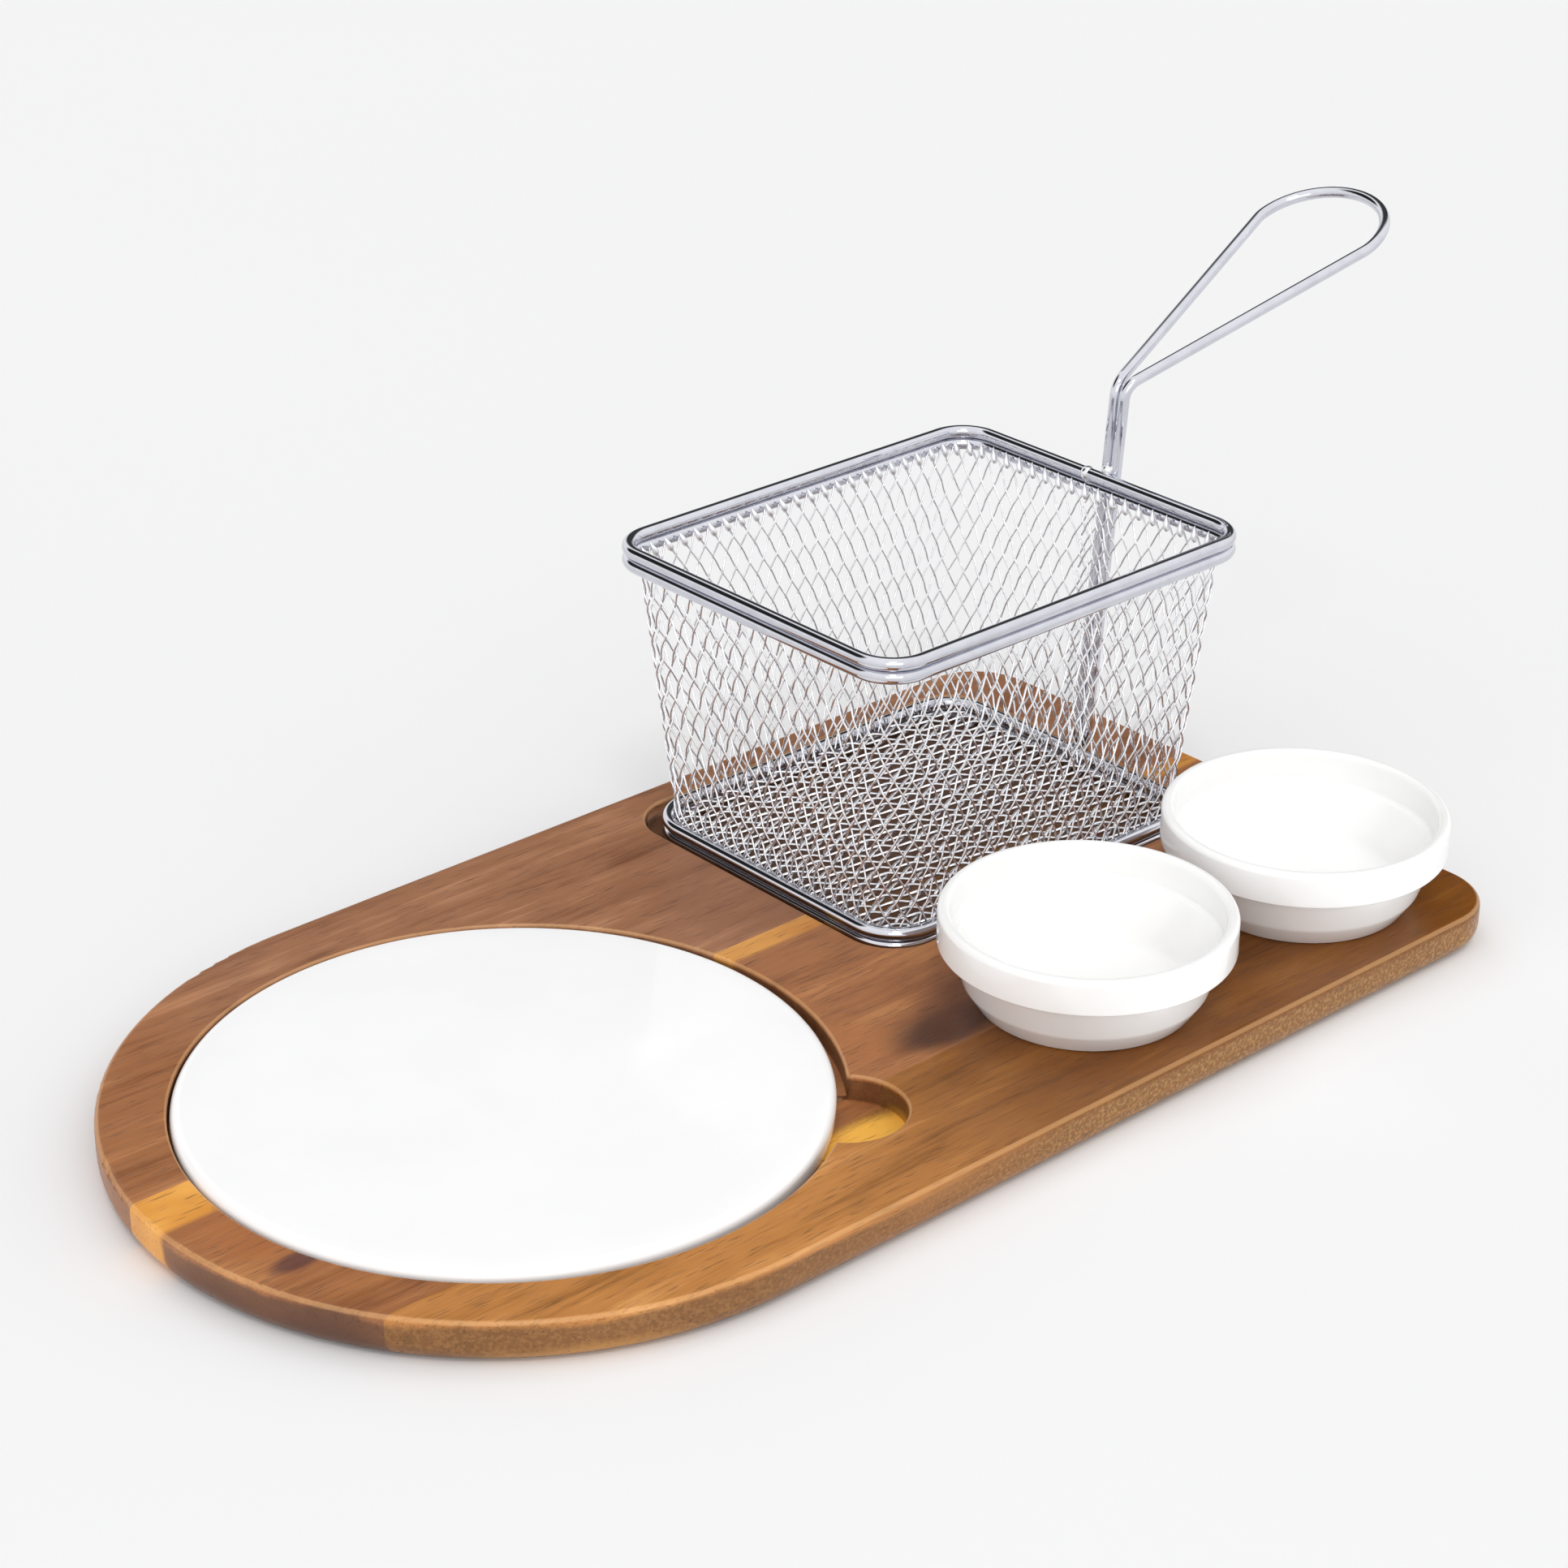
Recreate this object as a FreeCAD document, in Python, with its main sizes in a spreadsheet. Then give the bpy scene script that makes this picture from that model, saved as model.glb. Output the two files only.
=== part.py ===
import FreeCAD, Part
import math
import os
import Sketcher

# Chip and dip server: a laminated wooden board with a round flush plate, a wire basket
# with a loop handle in a shallow pocket, and two small stackable ramekins.
# Origin: centre of the flat underside of the board, +X towards the square end,
# +Y towards the basket side, +Z up.  All lengths are millimetres.

DIMS = [
    ("board_length", 356.0),
    ("board_width", 200.0),
    ("board_thickness", 12.0),
    ("board_corner_radius", 18.5),
    ("board_top_round", 1.5),
    ("board_bottom_round", 6.0),
    ("stave_joint_near", -58.0),
    ("stave_joint_far", 16.0),
    ("plate_pocket_x", -80.2),
    ("plate_pocket_y", -1.1),
    ("plate_pocket_radius", 81.7),
    ("plate_pocket_depth", 6.0),
    ("finger_notch_x", -25.5),
    ("finger_notch_y", -61.5),
    ("finger_notch_radius", 15.0),
    ("finger_notch_depth", 7.5),
    ("basket_pocket_x", 95.3),
    ("basket_pocket_y", 37.8),
    ("basket_pocket_half_length", 63.0),
    ("basket_pocket_half_width", 53.4),
    ("basket_pocket_corner", 14.0),
    ("basket_pocket_depth", 5.0),
    ("plate_x", -80.9),
    ("plate_y", -0.2),
    ("plate_radius", 80.2),
    ("plate_thickness", 6.9),
    ("plate_edge_round", 2.8),
    ("plate_foot_round", 1.2),
    ("ramekin_height", 25.2),
    ("ramekin_foot_radius", 27.6),
    ("ramekin_belly_radius", 31.2),
    ("ramekin_belly_height", 5.5),
    ("ramekin_neck_radius", 34.2),
    ("ramekin_rim_radius", 37.7),
    ("ramekin_rim_bottom", 15.4),
    ("ramekin_mouth_radius", 34.5),
    ("ramekin_ledge_height", 17.0),
    ("ramekin_ledge_radius", 32.2),
    ("ramekin_floor_radius", 25.0),
    ("ramekin_floor_height", 4.2),
    ("ramekin_hollow_radius", 23.5),
    ("ramekin_hollow_height", 0.9),
    ("ramekin_lip_round", 1.2),
    ("ramekin_small_round", 0.8),
    ("ramekin_floor_round", 5.0),
    ("ramekin_front_x", 55.7),
    ("ramekin_rear_x", 137.6),
    ("ramekin_front_y", -62.0),
    ("basket_x", 95.4),
    ("basket_y", 37.7),
    ("rod_diameter", 3.6),
    ("rod_stack_pitch", 3.62),
    ("rim_half_length", 65.5),
    ("rim_half_width", 53.7),
    ("rim_corner_radius", 10.7),
    ("rim_rod_height", 93.8),
    ("base_half_length", 58.0),
    ("base_half_width", 48.8),
    ("base_corner_radius", 12.8),
    ("base_rod_height", 12.42),
    ("mesh_thickness", 1.6),
    ("mesh_strand", 0.9),
    ("mesh_cell_width", 5.0),
    ("mesh_cell_height", 9.4),
    ("mesh_border", 0.8),
    ("mesh_bottom", 10.9),
    ("mesh_top", 92.3),
    ("floor_cell_length", 9.17),
    ("floor_cell_width", 4.31),
    ("floor_bottom", 10.9),
    ("handle_wire", 3.2),
    ("handle_leg_pitch", 3.3),
    ("handle_leg_bottom", 12.4),
    ("handle_bend_height", 120.0),
    ("handle_y", 37.1),
    ("handle_bend_radius", 6.0),
    ("handle_rise_angle", 19.2),
    ("handle_spread_angle", 12.7),
    ("handle_loop_reach", 102.2),
    ("handle_end_radius", 20.0),
    ("handle_shoulder_radius", 12.0),
    ("weld_radius", 2.15),
    ("weld_offset", 5.0),
    ("weld_bead_radius", 1.7),
    ("weld_bead_out", 1.9),
    ("weld_bead_lift", 0.2),
    ("stave_margin", 10.0),
]
VALUE = dict(DIMS)
GAP = 0.05          # clearance kept between pieces that lie side by side
CELL_DEPTH = 2.0    # half length of the prism that opens one cell of a flat panel
CORNER_DEPTH = 5.0  # the same for a curved corner patch

DOC = FreeCAD.newDocument("chip_and_dip_server")
SHEET = DOC.addObject("Spreadsheet::Sheet", "dims")
for row, (alias, number) in enumerate(DIMS, start=1):
    SHEET.set("A%d" % row, alias)
    SHEET.set("B%d" % row, str(number))
    SHEET.setAlias("B%d" % row, alias)
DOC.recompute()

PARTS = []


def bind(obj, prop, expression):
    obj.setExpression(prop, expression)


def plane_of(body, role):
    for feature in body.Origin.OriginFeatures:
        if feature.Role == role:
            return feature
    raise RuntimeError("no origin plane " + role)


def new_body(name):
    return DOC.addObject("PartDesign::Body", name)


def new_sketch(body, name, role, lift=None):
    sketch = body.newObject("Sketcher::SketchObject", name)
    sketch.AttachmentSupport = [(plane_of(body, role), "")]
    sketch.MapMode = "FlatFace"
    if lift:
        bind(sketch, "AttachmentOffset.Base.z", lift)
    return sketch


def driven(sketch, constraint, expression):
    index = sketch.addConstraint(constraint)
    bind(sketch, "Constraints[%d]" % index, expression)


def line(sketch, x0, y0, x1, y1):
    start = FreeCAD.Vector(x0, y0, 0)
    end = FreeCAD.Vector(x1, y1, 0)
    return sketch.addGeometry(Part.LineSegment(start, end), False)


def arc(sketch, cx, cy, radius, first, last):
    circle = Part.Circle(FreeCAD.Vector(cx, cy, 0), FreeCAD.Vector(0, 0, 1), radius)
    curve = Part.ArcOfCircle(circle, math.radians(first), math.radians(last))
    return sketch.addGeometry(curve, False)


def circle_sketch(body, name, prefix, lift):
    sketch = new_sketch(body, name, "XY_Plane", lift)
    bind(sketch, "AttachmentOffset.Base.x", "dims.%s_x" % prefix)
    bind(sketch, "AttachmentOffset.Base.y", "dims.%s_y" % prefix)
    radius = VALUE[prefix + "_radius"]
    shape = Part.Circle(FreeCAD.Vector(0, 0, 0), FreeCAD.Vector(0, 0, 1), radius)
    ring = sketch.addGeometry(shape, False)
    sketch.addConstraint(Sketcher.Constraint("Coincident", ring, 3, -1, 1))
    driven(sketch, Sketcher.Constraint("Radius", ring, radius), "dims.%s_radius" % prefix)
    return sketch


def rounded_rectangle(sketch, half_x, half_y, radius, expr_x, expr_y, expr_r):
    ix, iy = half_x - radius, half_y - radius
    top = line(sketch, -ix, half_y, ix, half_y)
    right = line(sketch, half_x, iy, half_x, -iy)
    bottom = line(sketch, ix, -half_y, -ix, -half_y)
    left = line(sketch, -half_x, -iy, -half_x, iy)
    corner_ne = arc(sketch, ix, iy, radius, 0, 90)
    corner_se = arc(sketch, ix, -iy, radius, 270, 360)
    corner_sw = arc(sketch, -ix, -iy, radius, 180, 270)
    corner_nw = arc(sketch, -ix, iy, radius, 90, 180)
    joints = [
        (top, 2, corner_ne, 2), (corner_ne, 1, right, 1), (right, 2, corner_se, 2),
        (corner_se, 1, bottom, 1), (bottom, 2, corner_sw, 2), (corner_sw, 1, left, 1),
        (left, 2, corner_nw, 2), (corner_nw, 1, top, 1),
    ]
    for first, end_a, second, end_b in joints:
        sketch.addConstraint(Sketcher.Constraint("Tangent", first, end_a, second, end_b))
    for other in (corner_se, corner_sw, corner_nw):
        sketch.addConstraint(Sketcher.Constraint("Equal", corner_ne, other))
    sketch.addConstraint(Sketcher.Constraint("Horizontal", top))
    sketch.addConstraint(Sketcher.Constraint("Vertical", right))
    sketch.addConstraint(Sketcher.Constraint("Symmetric", corner_ne, 3, corner_sw, 3, -1, 1))
    driven(sketch, Sketcher.Constraint("Radius", corner_ne, radius), expr_r)
    driven(sketch, Sketcher.Constraint("DistanceX", -1, 1, right, 1, half_x), expr_x)
    driven(sketch, Sketcher.Constraint("DistanceY", -1, 1, top, 1, half_y), expr_y)


def pad(body, name, sketch, length):
    feature = body.newObject("PartDesign::Pad", name)
    feature.Profile = sketch
    bind(feature, "Length", length)
    sketch.Visibility = False
    return feature


def pocket(body, name, sketch, depth):
    feature = body.newObject("PartDesign::Pocket", name)
    feature.Profile = sketch
    bind(feature, "Length", depth)
    sketch.Visibility = False
    return feature


def edges_at_height(shape, height):
    names = []
    for index, edge in enumerate(shape.Edges, start=1):
        if all(abs(v.Z - height) < 1e-4 for v in edge.Vertexes):
            box = edge.BoundBox
            if abs(box.ZMax - box.ZMin) < 1e-4:
                names.append("Edge%d" % index)
    return names


def circles_at(shape, marks):
    names = []
    for index, edge in enumerate(shape.Edges, start=1):
        if not isinstance(edge.Curve, Part.Circle):
            continue
        for radius, height in marks:
            same_radius = abs(edge.Curve.Radius - radius) < 1e-3
            if same_radius and abs(edge.Curve.Center.z - height) < 1e-3:
                names.append("Edge%d" % index)
    return names


def fillet(body, name, base, names, radius):
    feature = body.newObject("PartDesign::Fillet", name)
    feature.Base = (base, names)
    bind(feature, "Radius", radius)
    return feature


def volume(obj):
    DOC.recompute()
    return obj.Shape.Volume


def keep(obj, name):
    obj.Label = name
    PARTS.append((name, obj))


# ---- board: one outline, pockets cut through it, then split into glued staves ----------

def build_board():
    body = new_body("board_blank")
    sketch = new_sketch(body, "board_outline", "XY_Plane")
    half_w = VALUE["board_width"] / 2.0
    half_l = VALUE["board_length"] / 2.0
    bend = half_l - half_w
    r = VALUE["board_corner_radius"]
    top = line(sketch, -bend, half_w, half_l - r, half_w)
    corner_a = arc(sketch, half_l - r, half_w - r, r, 0, 90)
    end = line(sketch, half_l, half_w - r, half_l, r - half_w)
    corner_b = arc(sketch, half_l - r, r - half_w, r, 270, 360)
    low = line(sketch, half_l - r, -half_w, -bend, -half_w)
    round_end = arc(sketch, -bend, 0, half_w, 90, 270)
    joints = [
        (top, 2, corner_a, 2), (corner_a, 1, end, 1), (end, 2, corner_b, 2),
        (corner_b, 1, low, 1), (low, 2, round_end, 2), (round_end, 1, top, 1),
    ]
    for first, end_a, second, end_b in joints:
        sketch.addConstraint(Sketcher.Constraint("Tangent", first, end_a, second, end_b))
    sketch.addConstraint(Sketcher.Constraint("Horizontal", top))
    sketch.addConstraint(Sketcher.Constraint("Equal", corner_a, corner_b))
    sketch.addConstraint(Sketcher.Constraint("PointOnObject", round_end, 3, -1))
    driven(sketch, Sketcher.Constraint("Radius", round_end, half_w), "dims.board_width / 2")
    driven(sketch, Sketcher.Constraint("Radius", corner_a, r), "dims.board_corner_radius")
    driven(sketch, Sketcher.Constraint("DistanceX", -1, 1, end, 1, half_l), "dims.board_length / 2")
    driven(sketch, Sketcher.Constraint("DistanceX", round_end, 3, -1, 1, bend),
           "(dims.board_length - dims.board_width) / 2")
    block = pad(body, "board_block", sketch, "dims.board_thickness")
    full = volume(block)
    upper = edges_at_height(block.Shape, VALUE["board_thickness"])
    eased = fillet(body, "board_top_edge", block, upper, "dims.board_top_round")
    DOC.recompute()
    lower = edges_at_height(eased.Shape, 0.0)
    eased = fillet(body, "board_bottom_edge", eased, lower, "dims.board_bottom_round")
    solid = volume(eased)
    if not solid < full:
        raise RuntimeError("edge rounding did not remove material")
    cuts = [("plate_pocket", "plate_pocket"), ("finger_notch", "finger_notch")]
    for name, prefix in cuts:
        ring = circle_sketch(body, name + "_outline", prefix, "dims.board_thickness")
        cut = pocket(body, name, ring, "dims.%s_depth" % prefix)
        left = volume(cut)
        if not left < solid:
            raise RuntimeError(name + " did not remove material")
        solid = left
    seat = new_sketch(body, "basket_pocket_outline", "XY_Plane", "dims.board_thickness")
    bind(seat, "AttachmentOffset.Base.x", "dims.basket_pocket_x")
    bind(seat, "AttachmentOffset.Base.y", "dims.basket_pocket_y")
    rounded_rectangle(
        seat, VALUE["basket_pocket_half_length"], VALUE["basket_pocket_half_width"],
        VALUE["basket_pocket_corner"], "dims.basket_pocket_half_length",
        "dims.basket_pocket_half_width", "dims.basket_pocket_corner")
    cut = pocket(body, "basket_pocket", seat, "dims.basket_pocket_depth")
    left = volume(cut)
    if not left < solid:
        raise RuntimeError("basket_pocket did not remove material")
    return body


def build_staves(blank):
    length = "dims.board_length + 2 * dims.stave_margin"
    start = "-dims.board_length / 2 - dims.stave_margin"
    spans = [
        ("board_stave_near", "-dims.board_width / 2 - dims.stave_margin",
         "dims.stave_joint_near + dims.board_width / 2 + dims.stave_margin"),
        ("board_stave_middle", "dims.stave_joint_near", "dims.stave_joint_far - dims.stave_joint_near"),
        ("board_stave_far", "dims.stave_joint_far",
         "dims.board_width / 2 + dims.stave_margin - dims.stave_joint_far"),
    ]
    for name, low, width in spans:
        slab = DOC.addObject("Part::Box", name + "_slab")
        bind(slab, "Length", length)
        bind(slab, "Width", width)
        bind(slab, "Height", "dims.board_thickness + 2 * dims.stave_margin")
        bind(slab, "Placement.Base.x", start)
        bind(slab, "Placement.Base.y", low)
        bind(slab, "Placement.Base.z", "-dims.stave_margin")
        stave = DOC.addObject("Part::Common", name + "_solid")
        stave.Base = blank
        stave.Tool = slab
        keep(stave, name)


# ---- turned ceramic pieces ---------------------------------------------------------------

def turned(name, outline, place):
    """Revolve a closed outline of (radius alias, height alias) corners about the Z axis."""
    body = new_body(name + "_body")
    sketch = new_sketch(body, name + "_profile", "XZ_Plane")
    count = len(outline)
    points = []
    for radius, height in outline:
        points.append((VALUE[radius] if radius else 0.0, VALUE[height] if height else 0.0))
    for index in range(count):
        x0, y0 = points[index]
        x1, y1 = points[(index + 1) % count]
        line(sketch, x0, y0, x1, y1)
    for index in range(count):
        following = (index + 1) % count
        sketch.addConstraint(Sketcher.Constraint("Coincident", index, 2, following, 1))
        radius, height = outline[index]
        x0, y0 = points[index]
        if radius:
            driven(sketch, Sketcher.Constraint("DistanceX", -1, 1, index, 1, x0), "dims." + radius)
        else:
            sketch.addConstraint(Sketcher.Constraint("PointOnObject", index, 1, -2))
        if height:
            driven(sketch, Sketcher.Constraint("DistanceY", -1, 1, index, 1, y0), "dims." + height)
        else:
            sketch.addConstraint(Sketcher.Constraint("PointOnObject", index, 1, -1))
    spin = body.newObject("PartDesign::Revolution", name + "_turn")
    spin.Profile = sketch
    spin.ReferenceAxis = (sketch, ["V_Axis"])
    spin.Angle = 360
    sketch.Visibility = False
    DOC.recompute()
    for axis, expression in zip("xyz", place):
        bind(body, "Placement.Base." + axis, expression)
    return body, spin


def soften(body, name, feature, marks, radius):
    names = circles_at(feature.Shape, marks)
    if not names:
        raise RuntimeError("no edges found for " + name)
    rounded = fillet(body, name, feature, names, radius)
    DOC.recompute()
    return rounded


def build_plate():
    outline = [
        (None, None), ("plate_radius", None), ("plate_radius", "plate_thickness"),
        (None, "plate_thickness"),
    ]
    place = ("dims.plate_x", "dims.plate_y", "dims.board_thickness - dims.plate_pocket_depth")
    body, spin = turned("plate", outline, place)
    radius = VALUE["plate_radius"]
    top = soften(body, "plate_edge", spin, [(radius, VALUE["plate_thickness"])], "dims.plate_edge_round")
    soften(body, "plate_foot", top, [(radius, 0.0)], "dims.plate_foot_round")
    keep(body, "plate")


def build_ramekin(name, x_alias):
    v = VALUE
    outline = [
        ("ramekin_hollow_radius", None), ("ramekin_foot_radius", None),
        ("ramekin_belly_radius", "ramekin_belly_height"),
        ("ramekin_neck_radius", "ramekin_rim_bottom"),
        ("ramekin_rim_radius", "ramekin_rim_bottom"),
        ("ramekin_rim_radius", "ramekin_height"),
        ("ramekin_mouth_radius", "ramekin_height"),
        ("ramekin_mouth_radius", "ramekin_ledge_height"),
        ("ramekin_ledge_radius", "ramekin_ledge_height"),
        ("ramekin_floor_radius", "ramekin_floor_height"),
        (None, "ramekin_floor_height"), (None, "ramekin_hollow_height"),
        ("ramekin_hollow_radius", "ramekin_hollow_height"),
    ]
    place = ("dims." + x_alias, "dims.ramekin_front_y", "dims.board_thickness")
    body, spin = turned(name, outline, place)
    lip = [(v["ramekin_rim_radius"], v["ramekin_height"]),
           (v["ramekin_mouth_radius"], v["ramekin_height"])]
    step = soften(body, name + "_lip", spin, lip, "dims.ramekin_lip_round")
    small = [(v["ramekin_rim_radius"], v["ramekin_rim_bottom"]), (v["ramekin_foot_radius"], 0.0),
             (v["ramekin_ledge_radius"], v["ramekin_ledge_height"])]
    step = soften(body, name + "_small", step, small, "dims.ramekin_small_round")
    inner = [(v["ramekin_floor_radius"], v["ramekin_floor_height"])]
    step = soften(body, name + "_bowl", step, inner, "dims.ramekin_floor_round")
    belly = [(v["ramekin_belly_radius"], v["ramekin_belly_height"])]
    soften(body, name + "_belly", step, belly, "dims.ramekin_floor_round")
    keep(body, name)


# ---- basket rods: four straight runs joined by four quarter bends ---------------------

def build_ring(name, prefix, height):
    half_x = "dims.%s_half_length" % prefix
    half_y = "dims.%s_half_width" % prefix
    corner = "dims.%s_corner_radius" % prefix
    runs = []
    sides = [
        (1, 0, half_x, half_y), (-1, 0, half_x, half_y),
        (0, 1, half_y, half_x), (0, -1, half_y, half_x),
    ]
    for sx, sy, reach, run in sides:
        rod = DOC.addObject("Part::Cylinder", name + "_run")
        bind(rod, "Radius", "dims.rod_diameter / 2")
        bind(rod, "Height", "2 * (%s - %s)" % (run, corner))
        if sx:
            rod.Placement = FreeCAD.Placement(
                FreeCAD.Vector(0, 0, 0), FreeCAD.Rotation(FreeCAD.Vector(1, 0, 0), -90))
            bind(rod, "Placement.Base.x", "dims.basket_x + %d * %s" % (sx, reach))
            bind(rod, "Placement.Base.y", "dims.basket_y - (%s - %s)" % (run, corner))
        else:
            rod.Placement = FreeCAD.Placement(
                FreeCAD.Vector(0, 0, 0), FreeCAD.Rotation(FreeCAD.Vector(0, 1, 0), 90))
            bind(rod, "Placement.Base.x", "dims.basket_x - (%s - %s)" % (run, corner))
            bind(rod, "Placement.Base.y", "dims.basket_y + %d * %s" % (sy, reach))
        bind(rod, "Placement.Base.z", height)
        runs.append(rod)
    for sx, sy, turn in ((1, 1, 0), (-1, 1, 90), (-1, -1, 180), (1, -1, 270)):
        bend = DOC.addObject("Part::Torus", name + "_bend")
        bind(bend, "Radius1", corner)
        bind(bend, "Radius2", "dims.rod_diameter / 2")
        bend.Angle3 = 90
        bend.Placement = FreeCAD.Placement(
            FreeCAD.Vector(0, 0, 0), FreeCAD.Rotation(FreeCAD.Vector(0, 0, 1), turn))
        bind(bend, "Placement.Base.x", "dims.basket_x + %d * (%s - %s)" % (sx, half_x, corner))
        bind(bend, "Placement.Base.y", "dims.basket_y + %d * (%s - %s)" % (sy, half_y, corner))
        bind(bend, "Placement.Base.z", height)
        runs.append(bend)
    ring = DOC.addObject("Part::MultiFuse", name + "_ring")
    ring.Shapes = runs
    keep(ring, name)
    return ring


# ---- basket mesh: lattice panels just inside the rods -----------------------------------

def mesh_frame(height):
    """Half length, half width and corner radius of the mesh mid surface at a height."""
    v = VALUE
    span = v["rim_rod_height"] - v["base_rod_height"]
    share = (height - v["base_rod_height"]) / span
    inset = v["rod_diameter"] / 2.0 + GAP + v["mesh_thickness"] / 2.0
    sizes = []
    for low, high in (("base_half_length", "rim_half_length"), ("base_half_width", "rim_half_width"),
                      ("base_corner_radius", "rim_corner_radius")):
        sizes.append(v[low] + (v[high] - v[low]) * share - inset)
    return sizes


def diamond_prism(across, up, depth, origin, side, rise, normal):
    """Upright diamond through hole, long diagonal along rise."""
    corners = []
    for u, w in ((across, 0), (0, up), (-across, 0), (0, -up)):
        corners.append(origin + side * u + rise * w - normal * depth)
    corners.append(corners[0])
    face = Part.Face(Part.makePolygon(corners))
    return face.extrude(normal * (2.0 * depth))


def opening_of(width, height):
    """Half width and half height of the hole left between the strands of one cell."""
    lean = math.atan2(width, height)
    half_strand = VALUE["mesh_strand"] / 2.0
    across = width / 2.0 - half_strand / math.cos(lean)
    up = height / 2.0 - half_strand / math.sin(lean)
    return across, up


def build_wall(name, sx, sy):
    v = VALUE
    low = mesh_frame(v["mesh_bottom"])
    high = mesh_frame(v["mesh_top"])
    reach = 0 if sx else 1
    run = 1 - reach
    out = FreeCAD.Vector(sx, sy, 0)
    side = FreeCAD.Vector(-sy, sx, 0)
    centre = FreeCAD.Vector(v["basket_x"], v["basket_y"], 0)
    foot = centre + out * low[reach] + FreeCAD.Vector(0, 0, v["mesh_bottom"])
    head = centre + out * high[reach] + FreeCAD.Vector(0, 0, v["mesh_top"])
    rise = head - foot
    tall = rise.Length
    rise.normalize()
    normal = side.cross(rise)
    half = v["mesh_thickness"] / 2.0
    half_low = low[run] - low[2] - GAP
    half_high = high[run] - high[2] - GAP
    corners = []
    for u, w in ((-half_low, 0), (half_low, 0), (half_high, tall), (-half_high, tall), (-half_low, 0)):
        corners.append(foot + side * u + rise * w - normal * half)
    slab = DOC.addObject("Part::Feature", name + "_slab")
    slab.Shape = Part.Face(Part.makePolygon(corners)).extrude(normal * v["mesh_thickness"])
    across, up = opening_of(v["mesh_cell_width"], v["mesh_cell_height"])
    pitch = v["mesh_cell_width"]
    step = v["mesh_cell_height"] / 2.0
    rows = int((tall - 2 * v["mesh_border"] - 2 * up) / step) + 1
    start = (tall - (rows - 1) * step) / 2.0
    holes = []
    for row in range(rows):
        w = start + row * step
        shift = (row % 2) * pitch / 2.0
        share = (w - up) / tall
        room = half_low + (half_high - half_low) * share - v["mesh_border"] - across
        count = int(room / pitch) + 1
        for column in range(-count, count + 1):
            u = column * pitch + shift
            if abs(u) > room:
                continue
            spot = foot + side * u + rise * w
            holes.append(diamond_prism(across, up, CELL_DEPTH, spot, side, rise, normal))
    field = DOC.addObject("Part::Feature", name + "_cells")
    field.Shape = Part.makeCompound(holes)
    wall = DOC.addObject("Part::Cut", name + "_panel")
    wall.Base = slab
    wall.Tool = field
    keep(wall, name)


def quarter_ring(height, sx, sy):
    v = VALUE
    half_x, half_y, radius = mesh_frame(height)
    cx = v["basket_x"] + sx * (half_x - radius)
    cy = v["basket_y"] + sy * (half_y - radius)
    half = v["mesh_thickness"] / 2.0

    def spot(reach, angle):
        step = math.radians(angle)
        return FreeCAD.Vector(cx + sx * reach * math.cos(step), cy + sy * reach * math.sin(step), height)

    outer = [spot(radius + half, a) for a in (1, 45, 89)]
    inner = [spot(radius - half, a) for a in (89, 45, 1)]
    edges = [
        Part.Arc(outer[0], outer[1], outer[2]).toShape(),
        Part.makeLine(outer[2], inner[0]),
        Part.Arc(inner[0], inner[1], inner[2]).toShape(),
        Part.makeLine(inner[2], outer[0]),
    ]
    return Part.Wire(edges)


def build_corner(name, sx, sy):
    v = VALUE
    lower = quarter_ring(v["mesh_bottom"], sx, sy)
    upper = quarter_ring(v["mesh_top"], sx, sy)
    shell = DOC.addObject("Part::Feature", name + "_shell")
    shell.Shape = Part.makeLoft([lower, upper], True, True)
    across, up = opening_of(v["mesh_cell_width"], v["mesh_cell_height"])
    low = mesh_frame(v["mesh_bottom"])
    high = mesh_frame(v["mesh_top"])
    diagonal = FreeCAD.Vector(sx, sy, 0)
    diagonal.normalize()
    side = FreeCAD.Vector(-diagonal.y, diagonal.x, 0)
    centre = FreeCAD.Vector(v["basket_x"], v["basket_y"], 0)

    def belly(size, height):
        corner = FreeCAD.Vector(sx * (size[0] - size[2]), sy * (size[1] - size[2]), height)
        return centre + corner + diagonal * size[2]

    foot = belly(low, v["mesh_bottom"])
    head = belly(high, v["mesh_top"])
    rise = head - foot
    tall = rise.Length
    rise.normalize()
    normal = side.cross(rise)
    pitch = v["mesh_cell_width"]
    step = v["mesh_cell_height"] / 2.0
    rows = int((tall - 2 * v["mesh_border"] - 2 * up) / step) + 1
    start = (tall - (rows - 1) * step) / 2.0
    holes = []
    for row in range(rows):
        w = start + row * step
        offsets = (-pitch / 2.0, pitch / 2.0) if row % 2 else (0.0,)
        for u in offsets:
            spot = foot + side * u + rise * w
            holes.append(diamond_prism(across, up, CORNER_DEPTH, spot, side, rise, normal))
    field = DOC.addObject("Part::Feature", name + "_cells")
    field.Shape = Part.makeCompound(holes)
    patch = DOC.addObject("Part::Cut", name + "_patch")
    patch.Base = shell
    patch.Tool = field
    keep(patch, name)


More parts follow.
